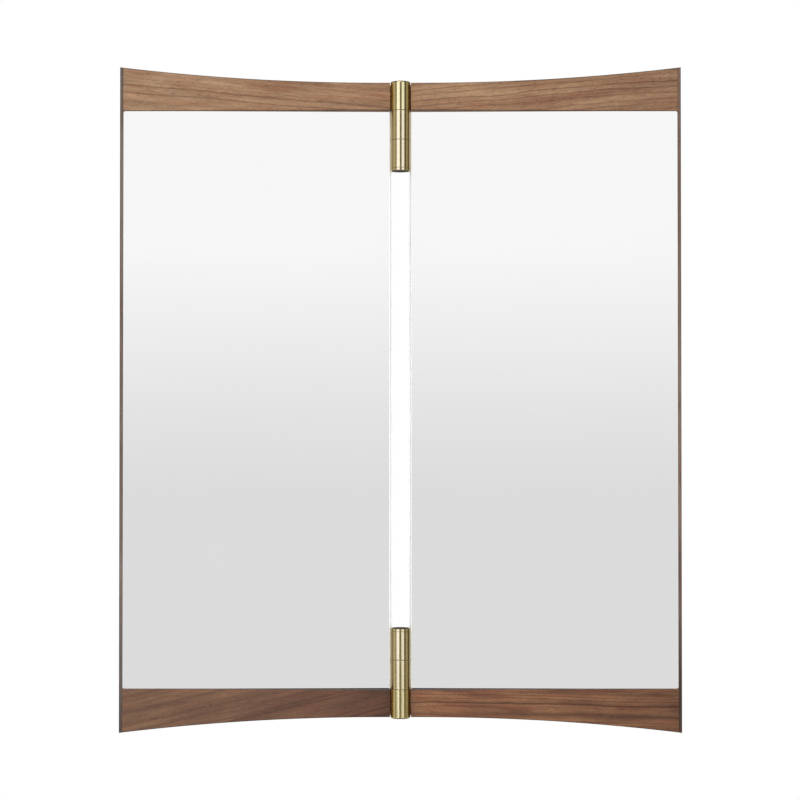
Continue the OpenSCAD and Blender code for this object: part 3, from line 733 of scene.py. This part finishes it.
# %% Four rails
rail_sizes = {
    "Hinge end": -hinge_end, "Stile end": -stile_face, "Front at hinge": rail_low.y,
    "Front at stile": stile_low.y, "Rebate": board_low.y, "Back": board_high.y, "Edge radius": edge_r,
    "Edge centre": edge_centre_z, "Lip": lip_h, "Opening": opening_z, "Fillet": corner_r,
}
rail_ease = 0.7 * MM
end_face = 0.05 * MM
hinge_end_band = 0.75 * MM
near_pane_band = 1.5 * MM
facing_pane = 0.95
for side, sign in (("left", -1.0), ("right", 1.0)):
    for level, up in (("top", 1.0), ("bottom", -1.0)):
        plank = f"{side}_{level}"
        rail = grown(rail_blank(), rail_rule, {**rail_sizes, "Side": sign, "Up": up, "Wood": walnut[plank]})
        rail = eased(rail, rail_ease, seam_x=sign * -stile_face)
        # The end at the hinge has its own finish. Its arrises and those next to the pane keep the plank's own
        # colour, without the painted edge shade, and the face of a bottom rail that looks up at the pane
        # takes the painted edge shade, as painted shade beneath the pane
        for face in rail.polygons:
            past_end = abs(face.center.x) + hinge_end
            if past_end < end_face:
                face.material_index = 2
            elif past_end < hinge_end_band or abs(face.center.z) < opening_z + near_pane_band:
                face.material_index = 1 if level == "bottom" and face.normal.z > facing_pane else 0
        place_piece(f"{plank}_walnut_rail", rail, [walnut[plank], walnut_painted_shade[plank], end_grain_and_painted_light[side]],
                    f"{side}_wing", [f"{plank}_rail"])


# %% [markdown]
# ## Shapes made of layers
#
# The stiles, the panes and the flat parts of the hinges are stacks of outlines, joined by side walls and
# closed at both ends. Where the first outline is a little smaller than the next one, the wall between them
# is a bevel.

# %% Layers
def layered(shape, outlines, indices):
    """Joins closed outlines of equally many points; indices gives the material of the front, each wall and
    the back."""
    rings = [[shape.verts.new(point) for point in outline] for outline in outlines]
    faces = [shape.faces.new(rings[0])]
    for one, other in zip(rings, rings[1:]):
        count = len(one)
        faces += [shape.faces.new((one[j], one[(j + 1) % count], other[(j + 1) % count], other[j]))
                  for j in range(count)]
    faces.append(shape.faces.new(rings[-1][::-1]))
    walls = [i for i in indices[1:-1] for _ in rings[0]]
    for face, index in zip(faces, [indices[0], *walls, indices[-1]]):
        face.material_index = index


def finished(shape, name, sharp=30):
    """Turns a bmesh into a mesh with faces outwards, smooth except across corners."""
    bmesh.ops.recalc_face_normals(shape, faces=shape.faces)
    for face in shape.faces:
        face.smooth = True
    mesh = bpy.data.meshes.new(name)
    shape.to_mesh(mesh)
    shape.free()
    mesh.set_sharp_from_angle(angle=math.radians(sharp))
    return mesh


# %% [markdown]
# ## The stiles
#
# A stile is a thin strip of walnut along the outer ends of both rails. Its own ends carry on the rails' arc,
# and over so short a way a straight cut can't be told from the arc. So the strip is one outline of four
# corners, pushed back and eased like the rails, except where it is glued.

# %% Two stiles
def edge_height(x):
    """Height of the curved edge above the middle, at a place across the left wing."""
    return edge_centre_z - math.sqrt(edge_r ** 2 - (x - hinge_end) ** 2)


stile_ease = 0.45 * MM
glued_strip = 0.6 * MM
inner, outer = edge_height(stile_high.x), edge_height(stile_low.x)
corners = [(stile_low.x, -outer), (stile_high.x, -inner), (stile_high.x, inner), (stile_low.x, outer)]
for side in ("left", "right"):
    shape = bmesh.new()
    layered(shape, [[(x, y, z) for x, z in corners] for y in (stile_low.y, stile_high.y)], [0, 0, 0])
    stile = eased(finished(shape, "stile"), stile_ease)
    for face in stile.polygons:
        if face.center.x > stile_high.x - glued_strip:
            face.material_index = 0
    if side == "right":
        stile = turned_round(stile)
    place_piece(f"{side}_walnut_stile", stile, [walnut_stile[side], walnut_stile_painted_shade[side]], f"{side}_wing",
                [f"{side}_stile"])


# %% [markdown]
# ## The mirror panes
#
# Each pane is cut to the opening, and its two corners at the stile are rounded to clear the rails' fillets.
# The model's pane has 0.3 mm of play all round, which would read as a dark line from the front, where the
# real one is bedded. So the dressed pane reaches almost to the wood. The front arris is 0.9 mm wide at the
# free edge and a third of that where the pane is bedded.

# %% Panes
bed = 0.22 * MM
bedded_share = 0.33


def pane_outline(inset, y):
    """The pane's outline from its free edge round both rounded corners, shrunk by inset."""
    free, inset = glass_high.x - inset, inset * bedded_share
    low, high, r = glass_low.x - bed, glass_high.z + bed, corner_r + glass_play
    outline = [(free, y, inset - high), (free, y, high - inset)]
    for turn, up in ((range(0, 91, 10), 1), (range(90, -1, -10), -1)):
        for a in map(math.radians, turn):
            outline.append((low + r - (r - inset) * math.sin(a), y,
                            up * (high - r + (r - inset) * math.cos(a))))
    return outline


arris = 0.9 * MM
back_arris = 0.2 * MM
for side in ("left", "right"):
    shape = bmesh.new()
    layered(shape, [pane_outline(arris, glass_low.y), pane_outline(0, glass_low.y + arris),
                    pane_outline(0, glass_high.y - back_arris), pane_outline(back_arris, glass_high.y)],
            [0, 1, 2, 1, 3])
    pane = finished(shape, "pane", sharp=20)
    if side == "right":
        pane = turned_round(pane)
    place_piece(f"{side}_mirror_pane", pane, glass, f"{side}_wing", [f"{side}_glass"])


# %% [markdown]
# ## Turned hinge barrels
#
# A barrel hinge is a row of brass tubes on one pin. The outer knuckle belongs to one wing, the middle one to
# the wall bracket, and the inner one to the other wing, with a thin cap screwed onto the pin's end. A lathe
# cuts each from bar, so each is a profile swept round the axis, with the corners rounded as a lathe tool
# leaves them: generously at the closed end, and just enough for a crisp line at the seams.

# %% Rounded corners
def softened(profile, radii):
    """Rounds the square corners of a (radius, height) profile and adds a guard point beside each arc, so
    that smooth shading stays flat along the straight runs."""
    steps, guard = 4, 0.15 * MM
    out = []
    for i, (corner, r) in enumerate(zip(profile, radii)):
        here = Vector(corner)
        if not r:
            out.append(here)
            continue
        to_last = (Vector(profile[i - 1]) - here).normalized()
        to_next = (Vector(profile[(i + 1) % len(profile)]) - here).normalized()
        out.append(here + to_last * (r + guard))
        for k in range(steps + 1):
            a = math.radians(90 * k / steps)
            out.append(here + to_last * r * (1 - math.sin(a)) + to_next * r * (1 - math.cos(a)))
        out.append(here + to_next * (r + guard))
    return out


# %% A lathe in code
def turned(shape, profile, base_z, closed, segments=144):
    """Sweeps a profile round the hinge axis. A closed profile is a loop, as for a tube; an open one starts
    and ends on the axis, where a point becomes a single vertex."""
    on_axis = 1e-7
    rings = []
    for r, z in profile:
        spots = [(0.0, 0.0)] if r < on_axis else [
            (r * math.cos(2 * math.pi * k / segments), r * math.sin(2 * math.pi * k / segments))
            for k in range(segments)]
        rings.append([shape.verts.new((x, axis_y + y, base_z + z)) for x, y in spots])
    pairs = list(zip(rings, rings[1:])) + ([(rings[-1], rings[0])] if closed else [])
    for one, other in pairs:
        for k in range(segments):
            n = (k + 1) % segments
            corners = [one[k % len(one)], one[n % len(one)], other[n % len(other)], other[k % len(other)]]
            shape.faces.new(list(dict.fromkeys(corners)))


# %% Flat metal parts
def flat_part(shape, x_from, x_to, z_from, z_to, y_from, y_to, corner):
    """A flat metal part with rounded corners and eased edges, its thickness along Y."""
    ease = 0.3 * MM

    def outline(inset, y):
        points = []
        r = corner - inset
        for cx, cz, start in ((x_to, z_to, 0), (x_from, z_to, 90), (x_from, z_from, 180),
                              (x_to, z_from, 270)):
            sx, sz = (1 if cx == x_to else -1), (1 if cz == z_to else -1)
            for k in range(6):
                a = math.radians(start + 90 * k / 5)
                points.append((cx - sx * (inset + r) + r * math.cos(a), y,
                               cz - sz * (inset + r) + r * math.sin(a)))
        return points
    layered(shape, [outline(ease, y_from), outline(0, y_from + ease), outline(0, y_to - ease),
                    outline(ease, y_to)], [0, 0, 0, 0, 0])


print("a barrel is turned round a point", round(-axis_y / MM, 1), "mm in front of the wall")

# %% [markdown]
# ## Knuckles and their leaves
#
# Each wing has a knuckle at either hinge, and each knuckle has a leaf, a flat ear that is let into the back
# board. A closed knuckle is a cup: its profile starts and ends on the axis. An open one is a tube: its
# profile is a loop beside the axis. A stock cylinder with a bevel would do nearly as well, but in a profile
# every corner can have its own radius.

# %% Wing knuckles with their leaves
bore_r = 5.28 * MM
end_wall = 4 * MM
closed_corner = 1.2 * MM
seam = 0.2 * MM
leaf_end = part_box("left_upper_knuckle")[0].x
leaf_rise, leaf_h, leaf_t, leaf_corner = 1.2 * MM, 20.6 * MM, 3 * MM, 3 * MM
cap_room = 0.9 * MM
base = knuckle_l / 2 + washer_t
closed_profile = softened(
    [(0, knuckle_l), (barrel_r, knuckle_l), (barrel_r, 0), (bore_r, 0), (bore_r, knuckle_l - end_wall),
     (0, knuckle_l - end_wall)], [0, closed_corner, seam, seam, 0, 0])
capped_l = knuckle_l - cap_room
open_profile = softened(
    [(bore_r, 0), (bore_r, capped_l), (barrel_r, capped_l), (barrel_r, 0)], [seam] * 4)
for side in ("left", "right"):
    for level, middle, profile, whole in (("upper", hinge_z, closed_profile, False),
                                          ("lower", -hinge_z, open_profile, True)):
        shape = bmesh.new()
        bottom = middle + base
        turned(shape, profile, bottom, closed=whole)
        leaf_low = bottom + leaf_rise
        flat_part(shape, leaf_end, 0, leaf_low, leaf_low + leaf_h, board_low.y, board_low.y + leaf_t,
                  leaf_corner)
        knuckle = finished(shape, "knuckle")
        node_level = level
        if side == "right":
            knuckle = turned_round(knuckle)
            node_level = "lower" if level == "upper" else "upper"
        place_piece(f"{side}_{node_level}_brass_knuckle", knuckle, [brass if whole else yellow_brass],
                    f"{side}_wing", [f"{side}_{node_level}_knuckle"])

# %% [markdown]
# ## Wall brackets and end caps
#
# The middle knuckle is the front of a bracket. Its arm reaches back through the gap between the wings to a
# foot that drops into the wall plate. Knuckle, arm and foot are one piece of brass. Here they are three
# simple shapes that run into each other, because nobody sees where they meet. The end cap is a thin disc,
# swept like the knuckles.

# %% Wall brackets and end caps
pin_hole_r = 4.05 * MM
arm_w, foot_w, foot_t = 8 * MM, 14 * MM, 2.4 * MM
foot_h = knuckle_l - 3 * MM
arm_corner, foot_corner = 0.6 * MM, 0.8 * MM
arm_front = axis_y + barrel_r * 0.6
foot_front = bracket_high.y - foot_t
arm_back = foot_front + 0.5 * MM
cap_t = 2.8 * MM
cap_corner = 0.35 * MM
for level, middle in (("upper", hinge_z), ("lower", -hinge_z)):
    shape = bmesh.new()
    ring = softened([(pin_hole_r, 0), (pin_hole_r, knuckle_l), (barrel_r, knuckle_l), (barrel_r, 0)],
                    [seam] * 4)
    turned(shape, ring, middle - knuckle_l / 2, closed=True)
    flat_part(shape, -arm_w / 2, arm_w / 2, middle - foot_h / 2, middle + foot_h / 2, arm_front, arm_back,
              arm_corner)
    flat_part(shape, -foot_w / 2, foot_w / 2, middle - foot_h / 2, middle + foot_h / 2, foot_front,
              bracket_high.y, foot_corner)
    place_piece(f"{level}_brass_bracket", finished(shape, "bracket"), [brass], "wall_mount",
                [f"{level}_bracket"])

    disc = softened([(0, cap_t), (barrel_r, cap_t), (barrel_r, 0), (0, 0)], [0, seam, cap_corner, 0])
    if level == "upper":
        cap_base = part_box("upper_end_cap")[0].z
    else:
        disc = [Vector((r, cap_t - z)) for r, z in disc]
        cap_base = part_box("lower_end_cap")[1].z - cap_t
    shape = bmesh.new()
    turned(shape, disc, cap_base, closed=False)
    place_piece(f"{level}_brass_end_cap", finished(shape, "cap"), [brass], "wall_mount",
                [f"{level}_end_cap"])

# %% [markdown]
# ## Screws and bumpers on the back
#
# Eight countersunk screws go through each back board into the rails, and two rubber bumpers hold each
# wing's outer end off the wall. They repeat in straight rows, so one tree sets them all: a line of points
# for each row, one fixing on each point, and a random turn so that no two cross slots line up.

# %% The tree that sets fixings in rows
fixing_rows = bpy.data.node_groups.new("fixings_in_rows", "GeometryNodeTree")
for name, kind in (("Geometry", "Geometry"), ("Fixing", "Object"), ("First", "Vector"), ("Step", "Vector"),
                   ("Next row", "Vector"), ("Count", "Int"), ("Turn", "Float"), ("Finish", "Material")):
    fixing_rows.interface.new_socket(name, in_out="INPUT", socket_type="NodeSocket" + kind)
fixing_rows.interface.new_socket("Geometry", in_out="OUTPUT", socket_type="NodeSocketGeometry")
given = add(fixing_rows, "NodeGroupInput", {}, {}).outputs
first_row = add(fixing_rows, "GeometryNodeMeshLine", {"mode": "OFFSET"}, {
    "Count": given["Count"], "Start Location": given["First"], "Offset": given["Step"]})
shift = add(fixing_rows, "ShaderNodeVectorMath", {"operation": "ADD"}, {
    0: given["First"], 1: given["Next row"]})
second_row = add(fixing_rows, "GeometryNodeMeshLine", {"mode": "OFFSET"}, {
    "Count": given["Count"], "Start Location": shift.outputs[0], "Offset": given["Step"]})
both = add(fixing_rows, "GeometryNodeJoinGeometry", {}, {0: first_row.outputs[0]})
fixing_rows.links.new(second_row.outputs[0], both.inputs[0])
model = add(fixing_rows, "GeometryNodeObjectInfo", {}, {"Object": given["Fixing"]})
# Input 3 is the largest value of the plain-number kind
angle = add(fixing_rows, "FunctionNodeRandomValue", {"data_type": "FLOAT"}, {3: given["Turn"], "Seed": 7})
turn = add(fixing_rows, "ShaderNodeCombineXYZ", {}, {"Y": angle.outputs[1]})
placed = add(fixing_rows, "GeometryNodeInstanceOnPoints", {}, {
    "Points": both.outputs[0], "Instance": model.outputs["Geometry"], "Rotation": turn.outputs[0]})
real = add(fixing_rows, "GeometryNodeRealizeInstances", {}, {0: placed.outputs[0]})
coated = add(fixing_rows, "GeometryNodeSetMaterial", {}, {
    "Geometry": real.outputs[0], "Material": given["Finish"]})
add(fixing_rows, "NodeGroupOutput", {}, {"Geometry": coated.outputs[0]})
print("fixing rows:", len(fixing_rows.nodes), "nodes")


# %% One screw
head_r = 3.5 * MM


def screw_model():
    """A countersunk screw with a cross recess. Its head is flush with Y = 0 and faces +Y."""
    shape = bmesh.new()
    shank_r, tip_r, length = 1.75 * MM, 0.2 * MM, 14 * MM
    # The recess: how far its arms reach, half their width, its depth, and how its floor narrows
    arm, half, sunk, narrowing = 1.7 * MM, 0.42 * MM, 1.6 * MM, 0.55
    count = 32
    levels = [(head_r, 0), (shank_r, -(head_r - shank_r)), (shank_r, -length + shank_r), (tip_r, -length)]
    turns = [2 * math.pi * k / count for k in range(count)]
    rings = [[shape.verts.new((r * math.cos(a), y, r * math.sin(a))) for a in turns] for r, y in levels]
    for one, other in zip(rings, rings[1:]):
        for k in range(count):
            shape.faces.new((one[k], one[(k + 1) % count], other[(k + 1) % count], other[k]))
    shape.faces.new(rings[-1])
    cross = [(arm, -half), (arm, half), (half, half), (half, arm), (-half, arm), (-half, half), (-arm, half),
             (-arm, -half), (-half, -half), (-half, -arm), (half, -arm), (half, -half)]
    rim = [shape.verts.new((x, 0, z)) for x, z in cross]
    well = [shape.verts.new((x * narrowing, -sunk, z * narrowing)) for x, z in cross]
    for k in range(len(cross)):
        n = (k + 1) % len(cross)
        shape.faces.new((rim[k], rim[n], well[n], well[k]))
    shape.faces.new(well)
    # The flat of the head lies between its round edge and the rim of the recess
    loops = [shape.edges.get((ring[k], ring[(k + 1) % len(ring)])) for ring in (rings[0], rim)
             for k in range(len(ring))]
    bmesh.ops.triangle_fill(shape, use_beauty=True, edges=loops)
    return finished(shape, "screw_model")


# %% One bumper
def bumper_model(radius, height):
    """A rubber foot with a rounded front. It stands on Y = 0 and faces +Y."""
    foot_corner, front_corner = 0.3 * MM, 1.5 * MM
    shape = bmesh.new()
    profile = softened([(0, 0), (radius, 0), (radius, height), (0, height)],
                       [0, foot_corner, front_corner, 0])
    turned(shape, profile, 0, closed=False, segments=64)
    for vertex in shape.verts:
        x, y, z = vertex.co
        vertex.co = (x, z, -(y - axis_y))
    return finished(shape, "bumper_model")


# %% Rows of screws and bumpers on both wings
screws_low, screws_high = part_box("left_rail_screws")
feet_low, feet_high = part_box("left_bumpers")
foot_r = (feet_high.x - feet_low.x) / 2
FIXINGS = {
    "rail_screws": (screw_model(), steel, "steel", dict(
        First=(screws_high.x - head_r, board_high.y, screws_high.z - head_r),
        Step=(-(screws_high.x - screws_low.x - 2 * head_r) / 3, 0, 0),
        **{"Next row": (0, 0, -(screws_high.z - screws_low.z - 2 * head_r))}, Count=4, Turn=1.5)),
    "bumpers": (bumper_model(foot_r, feet_high.y - feet_low.y), rubber, "rubber", dict(
        First=((feet_low.x + feet_high.x) / 2, feet_low.y, feet_high.z - foot_r), Step=(0, 0, 0),
        **{"Next row": (0, 0, -(feet_high.z - feet_low.z - 2 * foot_r))}, Count=1, Turn=0.0)),
}
for kind, (model_mesh, finish, slot_name, row) in FIXINGS.items():
    model = bpy.data.objects.new("fixing_model", model_mesh)
    bpy.context.scene.collection.objects.link(model)
    for side in ("left", "right"):
        carrier = bpy.data.meshes.new("row")
        fixings = grown(carrier, fixing_rows, {**row, "Fixing": model, "Finish": finish})
        if side == "right":
            fixings = turned_round(fixings)
        place_piece(f"{side}_back_{kind}", fixings, [finish], f"{side}_wing", [f"{side}_{kind}"])
    bpy.data.objects.remove(model)

# %% [markdown]
# ## Floor, sky and lights
#
# The mirror hangs, so the pale floor lies well below it. What makes a mirror look like a mirror is what it
# sees: a smooth studio sweep that is almost white above and light grey below. The sky gives each kind of
# ray what it needs. The camera sees white, a perfectly sharp reflection sees the sweep, soft light on wood
# comes more from above than from below, and brushed metal sees a dark studio in which softboxes stand out,
# with a pale stretch below the horizon. A panorama of a real studio could do all of this, but it would be
# a picture to carry along, and none of its parts could be set by itself.

# %% Floor
floor_mesh = bpy.data.meshes.new("studio_floor")
floor_z = -0.95
floor_mesh.from_pydata([(-2.2, -2.4, floor_z), (2.2, -2.4, floor_z), (2.2, 1.6, floor_z),
                        (-2.2, 1.6, floor_z)], [], [(0, 1, 2, 3)])
floor = bpy.data.objects.new("studio_floor", floor_mesh)
bpy.context.scene.collection.objects.link(floor)
floor_mesh.materials.append(plain_finish("pale_floor", "#e4e4e2", "#dededc", (300, 300, 300), 0.0, 0.8))
# Light from the floor would wash out the shadow under the top rails
floor.visible_diffuse = False
# The lower barrels' rims face down and are dark, so the brass must not see it either
floor.visible_glossy = False
print("the floor lies", -floor_z, "m below the mirror's middle")

# %% The sweep that the mirrors show
world = bpy.data.worlds.new("studio")
bpy.context.scene.world = world
world.use_nodes = True
sky = world.node_tree
ray = add(sky, "ShaderNodeLightPath", {}, {}).outputs
direction = add(sky, "ShaderNodeTexCoord", {}, {})
aim = add(sky, "ShaderNodeSeparateXYZ", {}, {0: direction.outputs["Generated"]}).outputs
up = aim["Z"]
# The sweep, by the sine of the height above the horizon: level below, then rising to white
sweep_at = add(sky, "ShaderNodeMapRange", {}, {0: up, 1: -0.0366, 2: 0.0924}).outputs[0]
front = add(sky, "ShaderNodeValToRGB", {"stops": [(0.0, 0.778), (0.325, 0.836), (1.0, 1.012)]}, {
    0: sweep_at})
# It is lit in front and falls off to the sides
side_at = add(sky, "ShaderNodeMapRange", {}, {0: aim["Y"], 1: -1.0, 2: 1.0}).outputs[0]
side = add(sky, "ShaderNodeValToRGB", {"stops": [
    (0.0, 1.0), (0.017, 1.0), (0.115, 0.62), (0.205, 0.48), (0.38, 0.34), (1.0, 0.34)]}, {0: side_at})
# A dark flag at the far right draws the dark line near the right edge of each barrel. Only a ray that comes
# by way of another surface sees it, so a pane that is turned to the side isn't darkened. The sky counts one
# step more than the ray has bounced
across = add(sky, "ShaderNodeMapRange", {}, {0: aim["X"], 1: -1.0, 2: 1.0}).outputs[0]
flag = add(sky, "ShaderNodeValToRGB", {"stops": [(0.0, 1.0), (0.91, 1.0), (0.945, 0.3), (1.0, 0.3)]}, {
    0: across})
onward = add(sky, "ShaderNodeMath", {"operation": "SUBTRACT", "use_clamp": True}, {
    0: ray["Ray Depth"], 1: 2.0})
shade = add(sky, "ShaderNodeMix", {"data_type": "FLOAT"}, {
    0: onward.outputs[0], 2: 1.0, 3: flag.outputs[0]})
lit = add(sky, "ShaderNodeMath", {"operation": "MULTIPLY"}, {0: front.outputs[0], 1: side.outputs[0]})
sweep = add(sky, "ShaderNodeMath", {"operation": "MULTIPLY"}, {0: lit.outputs[0], 1: shade.outputs[0]})
print("sky so far:", len(sky.nodes), "nodes")

# %% Soft light and the dark studio
# Soft light, by the height again: a little from below and most from above
soft_at = add(sky, "ShaderNodeMapRange", {}, {0: up, 1: -1.0, 2: 1.0}).outputs[0]
soft = add(sky, "ShaderNodeValToRGB", {"stops": [(0.0, 0.18), (0.45, 0.5), (0.6, 0.75), (1.0, 1.0)]}, {
    0: soft_at})
# The dark studio that brushed metal sees, darker still behind the mirror. In place of the floor, a pale
# stretch below the horizon glows into the lower barrels
unlit = add(sky, "ShaderNodeMapRange", {}, {0: aim["Y"], 1: -0.2, 2: 0.5, 3: 0.12, 4: 0.06}).outputs[0]
pale = add(sky, "ShaderNodeValToRGB", {"stops": [
    (0.0, 0.0), (0.22, 0.0), (0.3, 0.7), (0.37, 0.7), (0.4, 0.0)]}, {0: soft_at})
studio = add(sky, "ShaderNodeMath", {"operation": "ADD"}, {0: unlit, 1: pale.outputs[0]})
print("sky so far:", len(sky.nodes), "nodes")

# %% What each kind of ray sees
# Light that brass throws onto wood is soft light like any other, so only the first glossy step sees the
# dark studio
first = add(sky, "ShaderNodeMath", {"operation": "SUBTRACT", "use_clamp": True}, {
    0: ray["Is Glossy Ray"], 1: ray["Diffuse Depth"]})
dark = add(sky, "ShaderNodeMix", {"data_type": "RGBA"}, {
    0: first.outputs[0], 6: soft.outputs[0], 7: studio.outputs[0]})
sharp = add(sky, "ShaderNodeMix", {"data_type": "RGBA"}, {
    0: ray["Is Singular Ray"], 6: dark.outputs[2], 7: sweep.outputs[0]})
seen = add(sky, "ShaderNodeMix", {"data_type": "RGBA"}, {
    0: ray["Is Camera Ray"], 6: sharp.outputs[2], 7: (1, 1, 1, 1)})
wire(sky, sky.nodes["Background"], {"Color": seen.outputs[2], "Strength": 1.0})
bpy.context.scene.view_settings.view_transform = "Standard"
print("sky:", len(sky.nodes), "nodes")

# %% [markdown]
# ## Softboxes
#
# One large softbox above and in front lights everything. Four more stand round the mirror for the brass
# alone: a bright one on each side of the camera with a dark gap between them, which draws the thin dark
# line down the middle of each barrel, and dimmer ones at the sides. They lean by 11 to 16 degrees, so the
# upper and the lower barrels catch them a little differently. Two more show up the grey metal, from in front
# and from behind, and one lights the panes' frosted arrises. Light linking keeps all of these off the wood,
# and the panes reflect none of them. Without it, each lamp that helps one finish would spoil another.

# %% Which pieces a lamp may light
receivers = {kind: bpy.data.collections.new(kind)
             for kind in ("brass_only", "grey_metal_only", "panes_only")}
for obj in bpy.data.objects:
    for word, kind in (("brass", "brass_only"), ("mirror_pane", "panes_only")):
        if word in obj.name:
            receivers[kind].objects.link(obj)
for node in STAYING[aluminium] + STAYING[zinc] + STAYING[steel]:
    receivers["grey_metal_only"].objects.link(frame["nodes"][node])
for node in STAYING[dark_brass]:
    receivers["brass_only"].objects.link(frame["nodes"][node])


# %% A softbox
def softbox(name, place, aim, width, height, radiance, colour=(1, 1, 1), lean=0.0, lit=None):
    """An area light whose surface has the given radiance. It leans by some degrees and may light only one
    collection."""
    print(name, place, round(width, 2), "by", height, "m")
    light = bpy.data.lights.new(name, "AREA")
    light.shape = "RECTANGLE"
    light.size, light.size_y = width, height
    light.energy = radiance * math.pi * width * height
    light.color = colour
    lamp = bpy.data.objects.new(name, light)
    lamp.location = place
    look = (Vector(aim) - Vector(place)).to_track_quat("-Z", "Y")
    lamp.rotation_euler = (look @ Quaternion((0, 0, 1), math.radians(lean))).to_euler()
    lamp.visible_camera = False
    if lit:
        lamp.light_linking.receiver_collection = receivers[lit]
    bpy.context.scene.collection.objects.link(lamp)
    return lamp


# %% The lamps
softbox("key_softbox", (-0.5, -1.7, 1.7), (0, 0, 0), 1.6, 1.0, 2.0)
softbox("front_metal_softbox", (0, -2.2, 0), (0, 0, 0), 1.6, 2.0, 2.1, lit="grey_metal_only")
softbox("back_metal_softbox", (0.4, 2.2, 0.6), (0, 0, 0), 2.4, 1.6, 0.7, lit="grey_metal_only")
# This lamp makes the frosted arrises shine, and the panes beside them must not show it
softbox("arris_softbox", (0.4, -2.2, 0), (0, 0, 0), 2.0, 2.0, 3.7, lit="panes_only").visible_glossy = False
# (name, from degrees, to degrees, radiance, colour, lean); 0 is the camera's side, positive is to the right
BRASS_BOXES = [
    ("left_brass_softbox", -46.3, -10.2, 1.46, (0.86, 1.0, 1.72), -16),
    ("right_brass_softbox", 11.5, 42.5, 1.22, (0.86, 1.0, 1.6), -11),
    ("left_brass_fill", -120, -58, 0.42, (1.0, 1.0, 1.05), -13),
    ("right_brass_fill", 70, 104, 0.34, (1.0, 1.0, 0.9), -13),
]
away, height, tall = 2.2, 0.2, 1.8
for name, start, end, radiance, colour, lean in BRASS_BOXES:
    middle = math.radians((start + end) / 2)
    wide = 2 * away * math.tan(math.radians((end - start) / 2))
    softbox(name, (away * math.sin(middle), -away * math.cos(middle), height), (0, 0, height), wide, tall,
            radiance, colour, lean, lit="brass_only")

# %% [markdown]
# ## Camera
#
# The photograph's camera stood about two metres away and a little below the middle, tilted up by less than
# a degree, with a long lens. These numbers come from fitting the outline.

# %% Camera and closing
lens = bpy.data.cameras.new("camera")
lens.lens = 85.63
lens.sensor_width = 36
camera = bpy.data.objects.new("camera", lens)
camera.location = (-0.0005, -2.026, -0.0287)
camera.rotation_euler = (math.radians(90.8), 0, 0)
bpy.context.scene.collection.objects.link(camera)
bpy.context.scene.camera = camera
